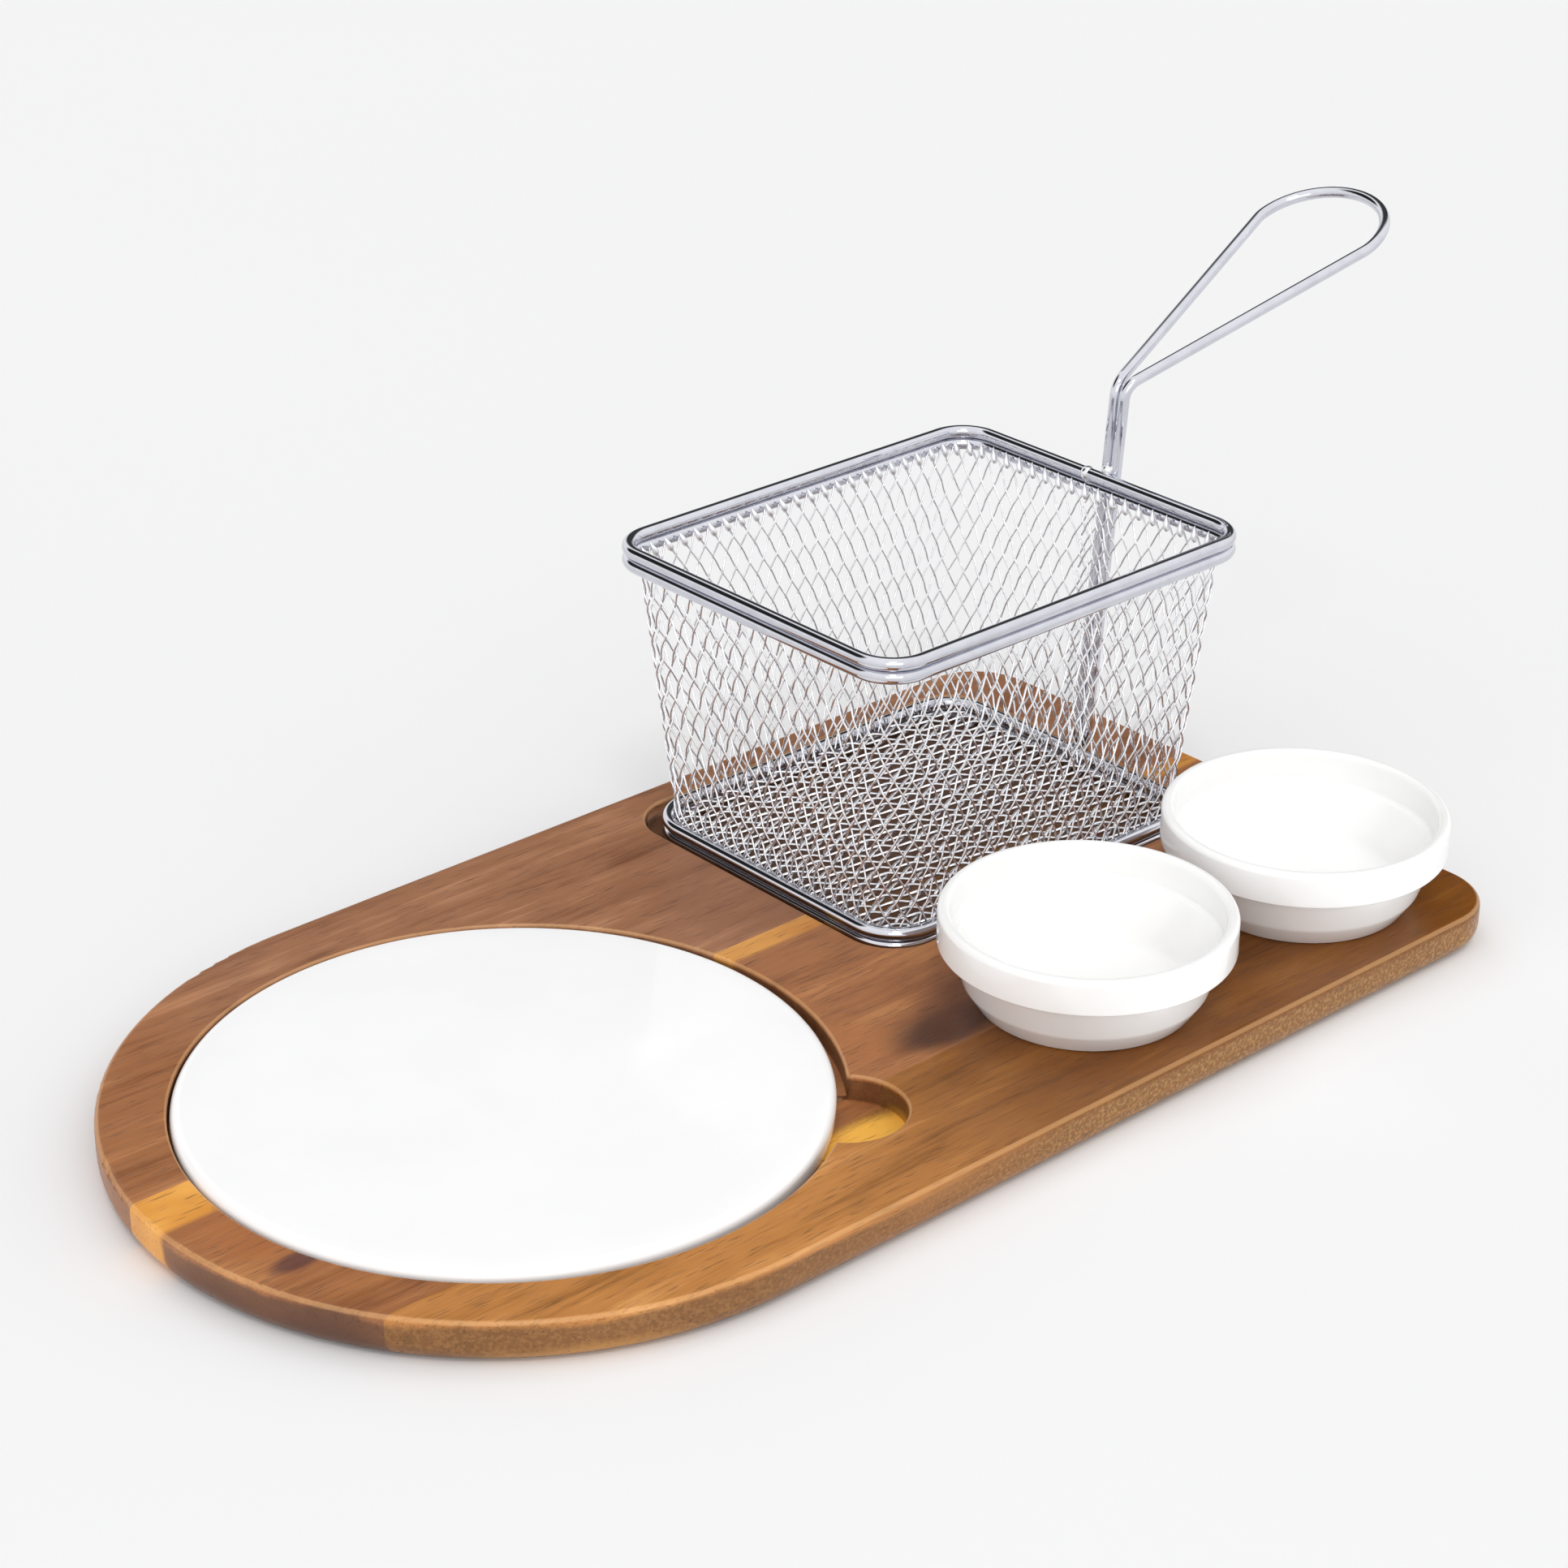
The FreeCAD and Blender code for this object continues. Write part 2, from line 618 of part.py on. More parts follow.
def build_floor():
    v = VALUE
    body = new_body("mesh_floor_body")
    sketch = new_sketch(body, "mesh_floor_outline", "XY_Plane")
    half_x, half_y, radius = mesh_frame(v["floor_bottom"])
    inset = v["mesh_thickness"] / 2.0 + 2 * GAP  # clear of the walls all round
    rounded_rectangle(
        sketch, half_x - inset, half_y - inset, radius - inset,
        "%.4f" % (half_x - inset), "%.4f" % (half_y - inset), "%.4f" % (radius - inset))
    pad(body, "mesh_floor_sheet", sketch, "dims.mesh_thickness")
    DOC.recompute()
    bind(body, "Placement.Base.x", "dims.basket_x")
    bind(body, "Placement.Base.y", "dims.basket_y")
    bind(body, "Placement.Base.z", "dims.floor_bottom")
    half_long = v["floor_cell_length"] / 2.0
    half_short = v["floor_cell_width"] / 2.0
    across, up = opening_of(v["floor_cell_length"], v["floor_cell_width"])
    room_x = half_x - inset - v["mesh_border"]
    room_y = half_y - inset - v["mesh_border"]
    corner_room = radius - inset - v["mesh_border"]
    side = FreeCAD.Vector(1, 0, 0)
    rise = FreeCAD.Vector(0, 1, 0)
    normal = FreeCAD.Vector(0, 0, 1)
    middle = v["floor_bottom"] + v["mesh_thickness"] / 2.0
    columns = int(room_x / half_long) + 1
    rows = int(room_y / half_short) + 1
    cells = []
    for column in range(-columns, columns + 1):
        for row in range(-rows, rows + 1):
            if (column + row) % 2:
                continue
            u, w = column * half_long, row * half_short
            if abs(u) + across > room_x or abs(w) + up > room_y:
                continue
            past_x = abs(u) + across / 2.0 - (half_x - radius)
            past_y = abs(w) + up / 2.0 - (half_y - radius)
            if past_x > 0 and past_y > 0 and math.hypot(past_x, past_y) > corner_room:
                continue
            spot = FreeCAD.Vector(v["basket_x"] + u, v["basket_y"] + w, middle)
            cells.append(diamond_prism(across, up, CELL_DEPTH, spot, side, rise, normal))
    field = DOC.addObject("Part::Feature", "mesh_floor_cells")
    field.Shape = Part.makeCompound(cells)
    grid = DOC.addObject("Part::Cut", "mesh_floor_grid")
    grid.Base = body
    grid.Tool = field
    keep(grid, "mesh_floor")


# ---- handle: one bent wire, two legs side by side and a teardrop loop -------------------

def leg_x(height):
    """X of a handle leg's centre line, which leans with the right wall of the basket."""
    v = VALUE
    outside = v["rod_diameter"] / 2.0 + v["handle_wire"] / 2.0 + GAP
    span = v["rim_rod_height"] - v["base_rod_height"]
    share = (height - v["base_rod_height"]) / span
    face = v["base_half_length"] + (v["rim_half_length"] - v["base_half_length"]) * share
    return v["basket_x"] + face + outside


def handle_path():
    v = VALUE
    rise = math.radians(v["handle_rise_angle"])
    lean = math.radians(v["handle_spread_angle"])
    half = v["handle_leg_pitch"] / 2.0
    bend_z = v["handle_bend_height"]
    origin = FreeCAD.Vector(leg_x(bend_z), v["handle_y"], bend_z)
    along = FreeCAD.Vector(math.cos(rise), 0, math.sin(rise))
    across = FreeCAD.Vector(0, 1, 0)

    def spot(u, w):
        return origin + along * u + across * w

    end_r = v["handle_end_radius"]
    corner_r = v["handle_shoulder_radius"]
    middle = v["handle_loop_reach"] - end_r
    slope = math.tan(lean)
    base = half - corner_r / math.cos(lean)
    a = 1.0 + slope * slope
    b = 2.0 * (slope * base - middle)
    c = middle * middle + base * base - (end_r - corner_r) ** 2
    p = (-b + math.sqrt(b * b - 4.0 * a * c)) / (2.0 * a)
    q = base + p * slope
    leave = (p - corner_r * math.sin(lean), q + corner_r * math.cos(lean))
    reach = math.hypot(p - middle, q)
    meet = (middle + end_r * (p - middle) / reach, end_r * q / reach)
    turn_from = math.atan2(leave[1] - q, leave[0] - p)
    turn_to = math.atan2(meet[1] - q, meet[0] - p)
    mid = (turn_from + turn_to) / 2.0
    shoulder = (p + corner_r * math.cos(mid), q + corner_r * math.sin(mid))
    foot = FreeCAD.Vector(leg_x(v["handle_leg_bottom"]), v["handle_y"] + half, v["handle_leg_bottom"])
    knee = spot(0, half)
    down = foot - knee
    down.normalize()
    away = spot(*leave) - knee
    away.normalize()
    opening = math.acos(down.dot(away))
    back = v["handle_bend_radius"] / math.tan(opening / 2.0)
    first = knee + down * back
    last = knee + away * back
    bisector = down + away
    bisector.normalize()
    centre = knee + bisector * (v["handle_bend_radius"] / math.sin(opening / 2.0))
    crown = centre - bisector * v["handle_bend_radius"]
    half_edges = [
        Part.makeLine(foot, first),
        Part.Arc(first, crown, last).toShape(),
        Part.makeLine(last, spot(*leave)),
        Part.Arc(spot(*leave), spot(*shoulder), spot(*meet)).toShape(),
    ]
    tip = Part.Arc(spot(*meet), spot(v["handle_loop_reach"], 0), spot(meet[0], -meet[1])).toShape()
    mirror = FreeCAD.Vector(0, 1, 0)
    other = []
    for edge in reversed(half_edges):
        other.append(edge.mirror(FreeCAD.Vector(0, v["handle_y"], 0), mirror))
    return half_edges + [tip] + other, foot, -down


def build_handle():
    edges, foot, direction = handle_path()
    spine = DOC.addObject("Part::Feature", "handle_spine")
    spine.Shape = Part.Wire(Part.__sortEdges__(edges))
    section = DOC.addObject("Part::Circle", "handle_section")
    bind(section, "Radius", "dims.handle_wire / 2")
    section.Placement = FreeCAD.Placement(foot, FreeCAD.Rotation(FreeCAD.Vector(0, 0, 1), direction))
    sweep = DOC.addObject("Part::Sweep", "handle_sweep")
    sweep.Sections = [section]
    sweep.Spine = (spine, [])
    sweep.Solid = True
    sweep.Frenet = True
    sweep.Transition = "Right corner"
    keep(sweep, "handle_wire")
    return sweep


def build_weld(name, radius, place, tools):
    """A small bead of weld metal, trimmed by the wires that it joins."""
    bead = DOC.addObject("Part::Sphere", name + "_bead")
    bind(bead, "Radius", radius)
    for axis, expression in zip("xyz", place):
        bind(bead, "Placement.Base." + axis, expression)
    current = bead
    for index, tool in enumerate(tools):
        cut = DOC.addObject("Part::Cut", "%s_trim_%d" % (name, index))
        cut.Base = current
        cut.Tool = tool
        current = cut
    keep(current, name)


blank = build_board()
build_staves(blank)
build_plate()
build_ramekin("ramekin_front", "ramekin_front_x")
build_ramekin("ramekin_rear", "ramekin_rear_x")
rim_upper = build_ring("rim_rod_upper", "rim", "dims.rim_rod_height")
rim_lower = build_ring("rim_rod_lower", "rim", "dims.rim_rod_height - dims.rod_stack_pitch")
base_upper = build_ring("base_rod_upper", "base", "dims.base_rod_height")
base_lower = build_ring("base_rod_lower", "base", "dims.base_rod_height - dims.rod_stack_pitch")
for wall_name, wall_x, wall_y in (("mesh_wall_left", -1, 0), ("mesh_wall_right", 1, 0),
                                  ("mesh_wall_near", 0, -1), ("mesh_wall_far", 0, 1)):
    build_wall(wall_name, wall_x, wall_y)
for corner_x, corner_side in ((-1, "left"), (1, "right")):
    for corner_y, corner_row in ((-1, "near"), (1, "far")):
        build_corner("mesh_corner_%s_%s" % (corner_row, corner_side), corner_x, corner_y)
build_floor()
handle = build_handle()
DOC.recompute()
build_weld("weld_handle_rim", "dims.weld_bead_radius",
           ("dims.basket_x + dims.rim_half_length + dims.weld_bead_out", "dims.handle_y",
            "dims.rim_rod_height + dims.rod_diameter / 2 + dims.weld_bead_lift"),
           [rim_upper, handle])
build_weld("weld_rim_joint", "dims.weld_radius",
           ("dims.basket_x + dims.rim_half_length", "dims.basket_y + dims.weld_offset",
            "dims.rim_rod_height"),
           [rim_upper, rim_lower])

DOC.recompute()
os.makedirs("parts", exist_ok=True)
for obj in DOC.Objects:
    if "Invalid" in obj.State or "Error" in obj.State:
        raise RuntimeError("%s is in state %s" % (obj.Name, obj.State))
for part_name, part_object in PARTS:
    shape = part_object.Shape
    if shape.isNull() or not shape.isValid():
        raise RuntimeError(part_name + " has a bad shape")
    shape.exportStep("parts/%s.step" % part_name)
    print(part_name, len(shape.Solids), len(shape.Faces), round(shape.Volume, 1))
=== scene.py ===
import math

import bmesh
import bpy
from mathutils import Matrix, Vector


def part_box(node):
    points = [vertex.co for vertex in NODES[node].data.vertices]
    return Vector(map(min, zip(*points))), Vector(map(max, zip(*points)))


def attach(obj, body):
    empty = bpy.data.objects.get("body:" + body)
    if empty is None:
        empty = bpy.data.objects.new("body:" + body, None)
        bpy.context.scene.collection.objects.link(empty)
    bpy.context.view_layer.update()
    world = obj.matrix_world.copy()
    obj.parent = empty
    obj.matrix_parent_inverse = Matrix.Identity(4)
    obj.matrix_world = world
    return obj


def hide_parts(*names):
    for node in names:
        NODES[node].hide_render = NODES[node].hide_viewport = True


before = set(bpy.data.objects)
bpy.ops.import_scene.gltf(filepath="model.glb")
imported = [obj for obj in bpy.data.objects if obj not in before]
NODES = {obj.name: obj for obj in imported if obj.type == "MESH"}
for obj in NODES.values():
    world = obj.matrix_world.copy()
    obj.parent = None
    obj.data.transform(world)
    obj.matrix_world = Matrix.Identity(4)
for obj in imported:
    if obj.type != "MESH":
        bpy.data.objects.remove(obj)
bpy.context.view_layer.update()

# Lengths are metres, in the frame's own axes: +X towards the board's square end,
# +Y towards the basket side, +Z up, origin under the middle of the board.
MM = 0.001


# ---- measures read from the frame ----------------------------------------------------------

class Span:
    """Centre, half size and lowest and highest corner of one CAD node."""

    def __init__(self, node):
        self.low, self.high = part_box(node)
        self.centre = (self.low + self.high) / 2
        self.half = (self.high - self.low) / 2


RIM = Span("rim_rod_upper")
RIM_LOWER = Span("rim_rod_lower")
BASE = Span("base_rod_upper")
BASE_LOWER = Span("base_rod_lower")
PLATE = Span("plate")
HANDLE = Span("handle_wire")
FLOOR_MESH = Span("mesh_floor")
WALL_MESH = Span("mesh_wall_left")
BOARD_TOP = Span("board_stave_far").high.z
ROD_RADIUS = RIM.half.z
RIM_CORNER = 10.7 * MM
BASE_CORNER = 12.8 * MM
BASKET = Vector((RIM.centre.x, RIM.centre.y, 0))

SIDE_WIRE = 0.27 * MM
FLOOR_WIRE = 0.48 * MM
SIDE_CRIMP = 0.34 * MM
FLOOR_CRIMP = 0.46 * MM
MESH_CLEARANCE = 0.08 * MM
CELLS_ROUND = 88
CELL_HEIGHT = 9.4 * MM
FLOOR_CELL = (9.17 * MM, 4.31 * MM)
STEPS_PER_CROSSING = 5

ROD_SIDES = 28
WIRE_SIDES = 7
TOOTH_SIDES = 8
PLATE_SEGMENTS = 224
BOWL_SEGMENTS = 160


# ---- meshes ----------------------------------------------------------------------------------

def add_piece(name, mesh, body, material, nodes=()):
    """Adds a finished mesh as a piece that rides on a body and stands for CAD nodes."""
    mesh.materials.clear()
    mesh.materials.append(material)
    piece = bpy.data.objects.new(name, mesh)
    bpy.context.scene.collection.objects.link(piece)
    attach(piece, body)
    if nodes:
        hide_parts(*nodes)
    return piece


def directions(points, closed):
    """Unit tangent at every point of a path."""
    count = len(points)
    tangents = []
    for index in range(count):
        if closed:
            before, after = points[index - 1], points[(index + 1) % count]
        else:
            before, after = points[max(index - 1, 0)], points[min(index + 1, count - 1)]
        tangents.append((after - before).normalized())
    return tangents


def tube_rings(points, radii, sides, closed):
    """Rings of vertices round a path, carried along it without twist."""
    tangents = directions(points, closed)
    seed = Vector((0, 0, 1))
    if abs(tangents[0].dot(seed)) > 0.9:
        seed = Vector((0, 1, 0))
    across = tangents[0].cross(seed).normalized()
    rings = []
    for point, tangent, radius in zip(points, tangents, radii):
        across = (across - tangent * across.dot(tangent)).normalized()
        other = tangent.cross(across)
        ring = []
        for side in range(sides):
            angle = math.tau * side / sides
            ring.append(point + (across * math.cos(angle) + other * math.sin(angle)) * radius)
        rings.append(ring)
    return rings


def tubes(name, runs, sides):
    """One mesh of round wires; a run is (points, radius or one radius a point, closed)."""
    vertices = []
    faces = []
    for points, radius, closed in runs:
        radii = radius if isinstance(radius, list) else [radius] * len(points)
        first = len(vertices)
        rings = tube_rings(points, radii, sides, closed)
        for ring in rings:
            vertices.extend(ring)
        count = len(rings)
        for index in range(count if closed else count - 1):
            here = first + index * sides
            there = first + ((index + 1) % count) * sides
            for side in range(sides):
                beside = (side + 1) % sides
                faces.append((here + side, here + beside, there + beside, there + side))
        if not closed:
            last = first + (count - 1) * sides
            faces.append(tuple(first + side for side in reversed(range(sides))))
            faces.append(tuple(last + side for side in range(sides)))
    mesh = bpy.data.meshes.new(name)
    mesh.from_pydata(vertices, [], faces)
    mesh.shade_smooth()
    return mesh


def eased(corners, steps=7):
    """Flat outline through (x, y, radius) corners, each rounded by its own radius."""
    outline = []
    for index, (x, y, radius) in enumerate(corners):
        here = Vector((x, y))
        if radius <= 0 or index in (0, len(corners) - 1):
            outline.append(here)
            continue
        before = (Vector(corners[index - 1][:2]) - here).normalized()
        after = (Vector(corners[index + 1][:2]) - here).normalized()
        opening = before.angle(after)
        middle = (before + after).normalized()
        centre = here + middle * (radius / math.sin(opening / 2))
        back = radius / math.tan(opening / 2)
        start = here + before * back - centre
        turn = start.angle_signed(here + after * back - centre)
        for step in range(steps + 1):
            angle = -turn * step / steps
            spun = Matrix.Rotation(angle, 2) @ start
            outline.append(centre + spun)
    return outline


def turned(name, outline, centre, segments):
    """Spins an outline of (radius, height) points about an upright axis."""
    work = bmesh.new()
    rings = []
    for segment in range(segments):
        angle = math.tau * segment / segments
        ring = []
        for radius, height in outline:
            spot = (centre.x + radius * math.cos(angle), centre.y + radius * math.sin(angle), height)
            ring.append(work.verts.new(spot))
        rings.append(ring)
    for segment in range(segments):
        here, there = rings[segment], rings[(segment + 1) % segments]
        for step in range(len(outline) - 1):
            work.faces.new((here[step], there[step], there[step + 1], here[step + 1]))
    bmesh.ops.remove_doubles(work, verts=work.verts, dist=0.001 * MM)
    bmesh.ops.recalc_face_normals(work, faces=work.faces)
    mesh = bpy.data.meshes.new(name)
    work.to_mesh(mesh)
    work.free()
    mesh.shade_smooth()
    return mesh


# ---- materials ---------------------------------------------------------------------------------

class Graph:
    """Short ways to add shader nodes to one material.

    self.place is in metres on the part; patch, block and drum take their sizes in millimetres.
    """

    def __init__(self, name):
        self.material = bpy.data.materials.new(name)
        self.material.use_nodes = True
        self.tree = self.material.node_tree
        self.shader = self.tree.nodes["Principled BSDF"]
        self.place = self.add("ShaderNodeTexCoord").outputs["Object"]

    def add(self, kind, **settings):
        node = self.tree.nodes.new(kind)
        for key, value in settings.items():
            setattr(node, key, value)
        return node

    def feed(self, socket, value):
        if isinstance(value, bpy.types.NodeSocket):
            self.tree.links.new(value, socket)
        else:
            socket.default_value = value

    def math(self, operation, first, second=0.0):
        node = self.add("ShaderNodeMath", operation=operation)
        self.feed(node.inputs[0], first)
        self.feed(node.inputs[1], second)
        return node.outputs[0]

    def axes(self, place):
        node = self.add("ShaderNodeSeparateXYZ")
        self.feed(node.inputs[0], place)
        return node.outputs

    def scaled(self, place, scale):
        node = self.add("ShaderNodeVectorMath", operation="MULTIPLY")
        self.feed(node.inputs[0], place)
        node.inputs[1].default_value = scale
        return node.outputs[0]

    def noise(self, scale, detail, roughness, place=None):
        node = self.add("ShaderNodeTexNoise")
        self.feed(node.inputs["Vector"], self.scaled(place or self.place, scale))
        node.inputs["Scale"].default_value = 1.0
        node.inputs["Detail"].default_value = detail
        node.inputs["Roughness"].default_value = roughness
        return node.outputs["Fac"]

    def span(self, value, low, high, to_low=0.0, to_high=1.0, smooth=True):
        node = self.add("ShaderNodeMapRange")
        node.interpolation_type = "SMOOTHSTEP" if smooth else "LINEAR"
        for socket, number in zip(node.inputs, (value, low, high, to_low, to_high)):
            self.feed(socket, number)
        return node.outputs[0]

    def mix(self, share, first, second, blend="MIX"):
        node = self.add("ShaderNodeMix", data_type="RGBA", blend_type=blend)
        self.feed(node.inputs["Factor"], share)
        for socket, value in ((node.inputs[6], first), (node.inputs[7], second)):
            self.feed(socket, (*value, 1.0) if isinstance(value, tuple) else value)
        return node.outputs[2]

    def warped(self, scale, reach):
        """The place, pushed about by a soft noise of the given scale."""
        noise = self.add("ShaderNodeTexNoise")
        self.feed(noise.inputs["Vector"], self.scaled(self.place, scale))
        noise.inputs["Scale"].default_value = 1.0
        noise.inputs["Detail"].default_value = 2.0
        centred = self.add("ShaderNodeVectorMath", operation="SUBTRACT")
        self.feed(centred.inputs[0], noise.outputs["Color"])
        centred.inputs[1].default_value = (0.5, 0.5, 0.5)
        moved = self.add("ShaderNodeVectorMath", operation="ADD")
        self.feed(moved.inputs[0], self.place)
        self.feed(moved.inputs[1], self.scaled(centred.outputs[0], reach))
        return moved.outputs[0]

    def patch(self, place, centre, half, soft=0.45):
        """1 inside an ellipsoid of the board, fading out over a soft edge."""
        shifted = self.add("ShaderNodeVectorMath", operation="SUBTRACT")
        self.feed(shifted.inputs[0], place)
        shifted.inputs[1].default_value = [c * MM for c in centre]
        length = self.add("ShaderNodeVectorMath", operation="LENGTH")
        scale = tuple(1 / (size * MM) for size in half)
        self.feed(length.inputs[0], self.scaled(shifted.outputs[0], scale))
        return self.span(length.outputs["Value"], 1 + soft, 1 - soft)

    def block(self, place, centre, half, soft):
        """1 inside an upright box of the board, with soft sides."""
        mask = 1.0
        for axis, middle, size in zip(self.axes(place), centre, half):
            away = self.math("ABSOLUTE", self.math("SUBTRACT", axis, middle * MM))
            mask = self.math("MULTIPLY", self.span(away, (size + soft) * MM, (size - soft) * MM), mask)
        return mask

    def drum(self, place, centre, radius, low, high, soft=0.3):
        """1 inside an upright round column of the board, between two heights."""
        x, y, z = self.axes(place)
        squares = []
        for axis, middle in ((x, centre[0]), (y, centre[1])):
            away = self.math("SUBTRACT", axis, middle * MM)
            squares.append(self.math("MULTIPLY", away, away))
        away = self.math("SQRT", self.math("ADD", *squares))
        inside = self.span(away, (radius + soft) * MM, (radius - soft) * MM)
        under = self.span(z, (high + soft) * MM, (high - soft) * MM)
        over = self.span(z, (low - soft) * MM, (low + soft) * MM)
        return self.math("MULTIPLY", inside, self.math("MULTIPLY", under, over))

    def bump(self, height, distance, strength):
        node = self.add("ShaderNodeBump")
        node.inputs["Strength"].default_value = strength
        node.inputs["Distance"].default_value = distance
        self.feed(node.inputs["Height"], height)
        self.feed(self.shader.inputs["Normal"], node.outputs["Normal"])


# Millimetres on the board: where shade is painted into its basket pocket and onto its pocket walls, and
# where a highlight is painted along its top edge.
BASKET_POCKET = (95.3, 37.8, 7.2)
BASKET_POCKET_HALF = (63.0, 53.4, 1.6)
BASKET_POCKET_SOFT = 0.7
PLATE_POCKET = (-80.2, -1.1)
PLATE_POCKET_RADIUS = 82.2
PLATE_POCKET_LOW = 6.3
NOTCH = (-25.5, -61.5)
NOTCH_RADIUS = 15.4
NOTCH_LOW = 5.0
# Top of the painted shade on the pocket walls.
WALL_SHADE_HIGH = 10.7
# Heights of the painted highlight along the rounded top edges and pocket rims.
EDGE_HIGHLIGHT_FROM = (10.9, 11.4)
EDGE_HIGHLIGHT_UNTIL = (11.98, 11.85)

# Colour of the painted shade in the basket pocket, under the wire floor.
BASKET_POCKET_PAINTED_SHADE = (0.05, 0.027, 0.016)
# Colour of the painted shade on the walls of the plate pocket and the finger notch.
POCKET_WALL_PAINTED_SHADE = (0.055, 0.022, 0.010)
PORE_TONE = (0.06, 0.024, 0.010)
# Colour of the painted highlight along the rounded top edges and pocket rims.
EDGE_HIGHLIGHT_TONE = (0.86, 0.50, 0.22)


def wood_grain(name, dark, body, light, seed):
    """Long-grained oiled wood. Returns the graph, the colour, the warped place and two noises."""
    graph = Graph(name)
    bent = graph.warped((7 + seed, 26, 40), (0, 9 * MM, 9 * MM))
    broad = graph.noise((9, 62 + 6 * seed, 80), 3.0, 0.5, bent)
    mottle = graph.noise((48, 75 + 8 * seed, 90), 2.0, 0.5, bent)
    streak = graph.noise((16, 330 + 20 * seed, 330), 4.0, 0.6, bent)
    fibre = graph.noise((70, 1900, 1900), 2.0, 0.6, bent)
    tone = graph.math("MULTIPLY", broad, 0.34)
    for layer, weight in ((streak, 0.28), (mottle, 0.20), (fibre, 0.18)):
        tone = graph.math("ADD", tone, graph.math("MULTIPLY", layer, weight))
    colour = graph.mix(graph.span(tone, 0.36, 0.5), dark, body)
    colour = graph.mix(graph.span(tone, 0.5, 0.63), colour, light)
    return graph, colour, bent, streak, fibre


def finish_wood(graph, colour, streak, fibre, gloss):
    """Painted shade in the basket pocket and on the pocket walls, pores, a painted highlight along the
    top edges and pocket rims, then sheen and relief.
    """
    # Painted shade: the basket pocket's floor and lower walls are darkened as if shaded by the wire
    # floor above them.
    pocket_shade = graph.block(graph.place, BASKET_POCKET, BASKET_POCKET_HALF, BASKET_POCKET_SOFT)
    colour = graph.mix(graph.math("MULTIPLY", pocket_shade, 0.70), colour, BASKET_POCKET_PAINTED_SHADE)
    # Painted shade: the walls of the plate pocket and the finger notch are darkened as if in shadow.
    plate_wall_shade = graph.drum(graph.place, PLATE_POCKET, PLATE_POCKET_RADIUS, PLATE_POCKET_LOW, WALL_SHADE_HIGH)
    notch_wall_shade = graph.drum(graph.place, NOTCH, NOTCH_RADIUS, NOTCH_LOW, WALL_SHADE_HIGH)
    wall = graph.math("MAXIMUM", plate_wall_shade, notch_wall_shade)
    colour = graph.mix(graph.math("MULTIPLY", wall, 0.62), colour, POCKET_WALL_PAINTED_SHADE)
    pores = graph.noise((150, 2300, 2300), 1.0, 0.4)
    pore = graph.span(pores, 0.60, 0.72)
    colour = graph.mix(graph.math("MULTIPLY", pore, 0.42), colour, PORE_TONE)
    # Painted highlight: a pale band at the height of the rounded top edges and the pocket rims.
    _, _, height = graph.axes(graph.place)
    above = graph.span(height, EDGE_HIGHLIGHT_FROM[0] * MM, EDGE_HIGHLIGHT_FROM[1] * MM)
    below = graph.span(height, EDGE_HIGHLIGHT_UNTIL[0] * MM, EDGE_HIGHLIGHT_UNTIL[1] * MM)
    edge_highlight = graph.math("MULTIPLY", above, below)
    colour = graph.mix(graph.math("MULTIPLY", edge_highlight, 0.28), colour, EDGE_HIGHLIGHT_TONE)
    graph.feed(graph.shader.inputs["Base Color"], colour)
    rough = graph.math("ADD", gloss, graph.math("MULTIPLY", streak, 0.22))
    graph.feed(graph.shader.inputs["Roughness"], rough)
    graph.shader.inputs["Specular IOR Level"].default_value = 0.32
    relief = graph.math("SUBTRACT", graph.math("MULTIPLY", fibre, 0.5), pore)
    graph.bump(relief, 0.05 * MM, 0.6)
    return graph.material


def wood_near():
    """Golden towards the round end and deeper to the right, with flecked sides and sapwood."""
    graph, colour, bent, streak, fibre = wood_grain(
        "oiled_wood_near", (0.29, 0.115, 0.028), (0.51, 0.215, 0.058), (0.69, 0.325, 0.105), 0)
    x, _, z = graph.axes(bent)
    right = graph.span(x, -60 * MM, 30 * MM)
    colour = graph.mix(graph.math("MULTIPLY", right, 0.96), colour,
                       graph.mix(1.0, colour, (0.34, 0.25, 0.06), "MULTIPLY"))
    side = graph.span(z, 10.5 * MM, 8.5 * MM)
    fleck = graph.span(graph.noise((900, 900, 900), 2.0, 0.6), 0.45, 0.62)
    pale = graph.mix(fleck, (0.27, 0.125, 0.036), (0.47, 0.255, 0.09))
    colour = graph.mix(graph.math("MULTIPLY", graph.math("MULTIPLY", side, right), 0.75), colour, pale)
    dull = graph.math("MULTIPLY", side, graph.span(x, 10 * MM, -70 * MM))
    dusky = graph.mix(fleck, (0.15, 0.066, 0.022), (0.23, 0.11, 0.038))
    colour = graph.mix(graph.math("MULTIPLY", dull, 0.8), colour, dusky)
    low_sap = graph.patch(bent, (-125, -84, 1), (26, 16, 3.4), 0.5)
    colour = graph.mix(graph.math("MULTIPLY", low_sap, 0.75), colour, (0.56, 0.27, 0.06))
    sap = graph.patch(bent, (-26, -67, 4), (20, 8, 3), 0.3)
    colour = graph.mix(graph.math("MULTIPLY", sap, 0.95), colour, (0.95, 0.50, 0.08))
    return finish_wood(graph, colour, streak, fibre, 0.20)


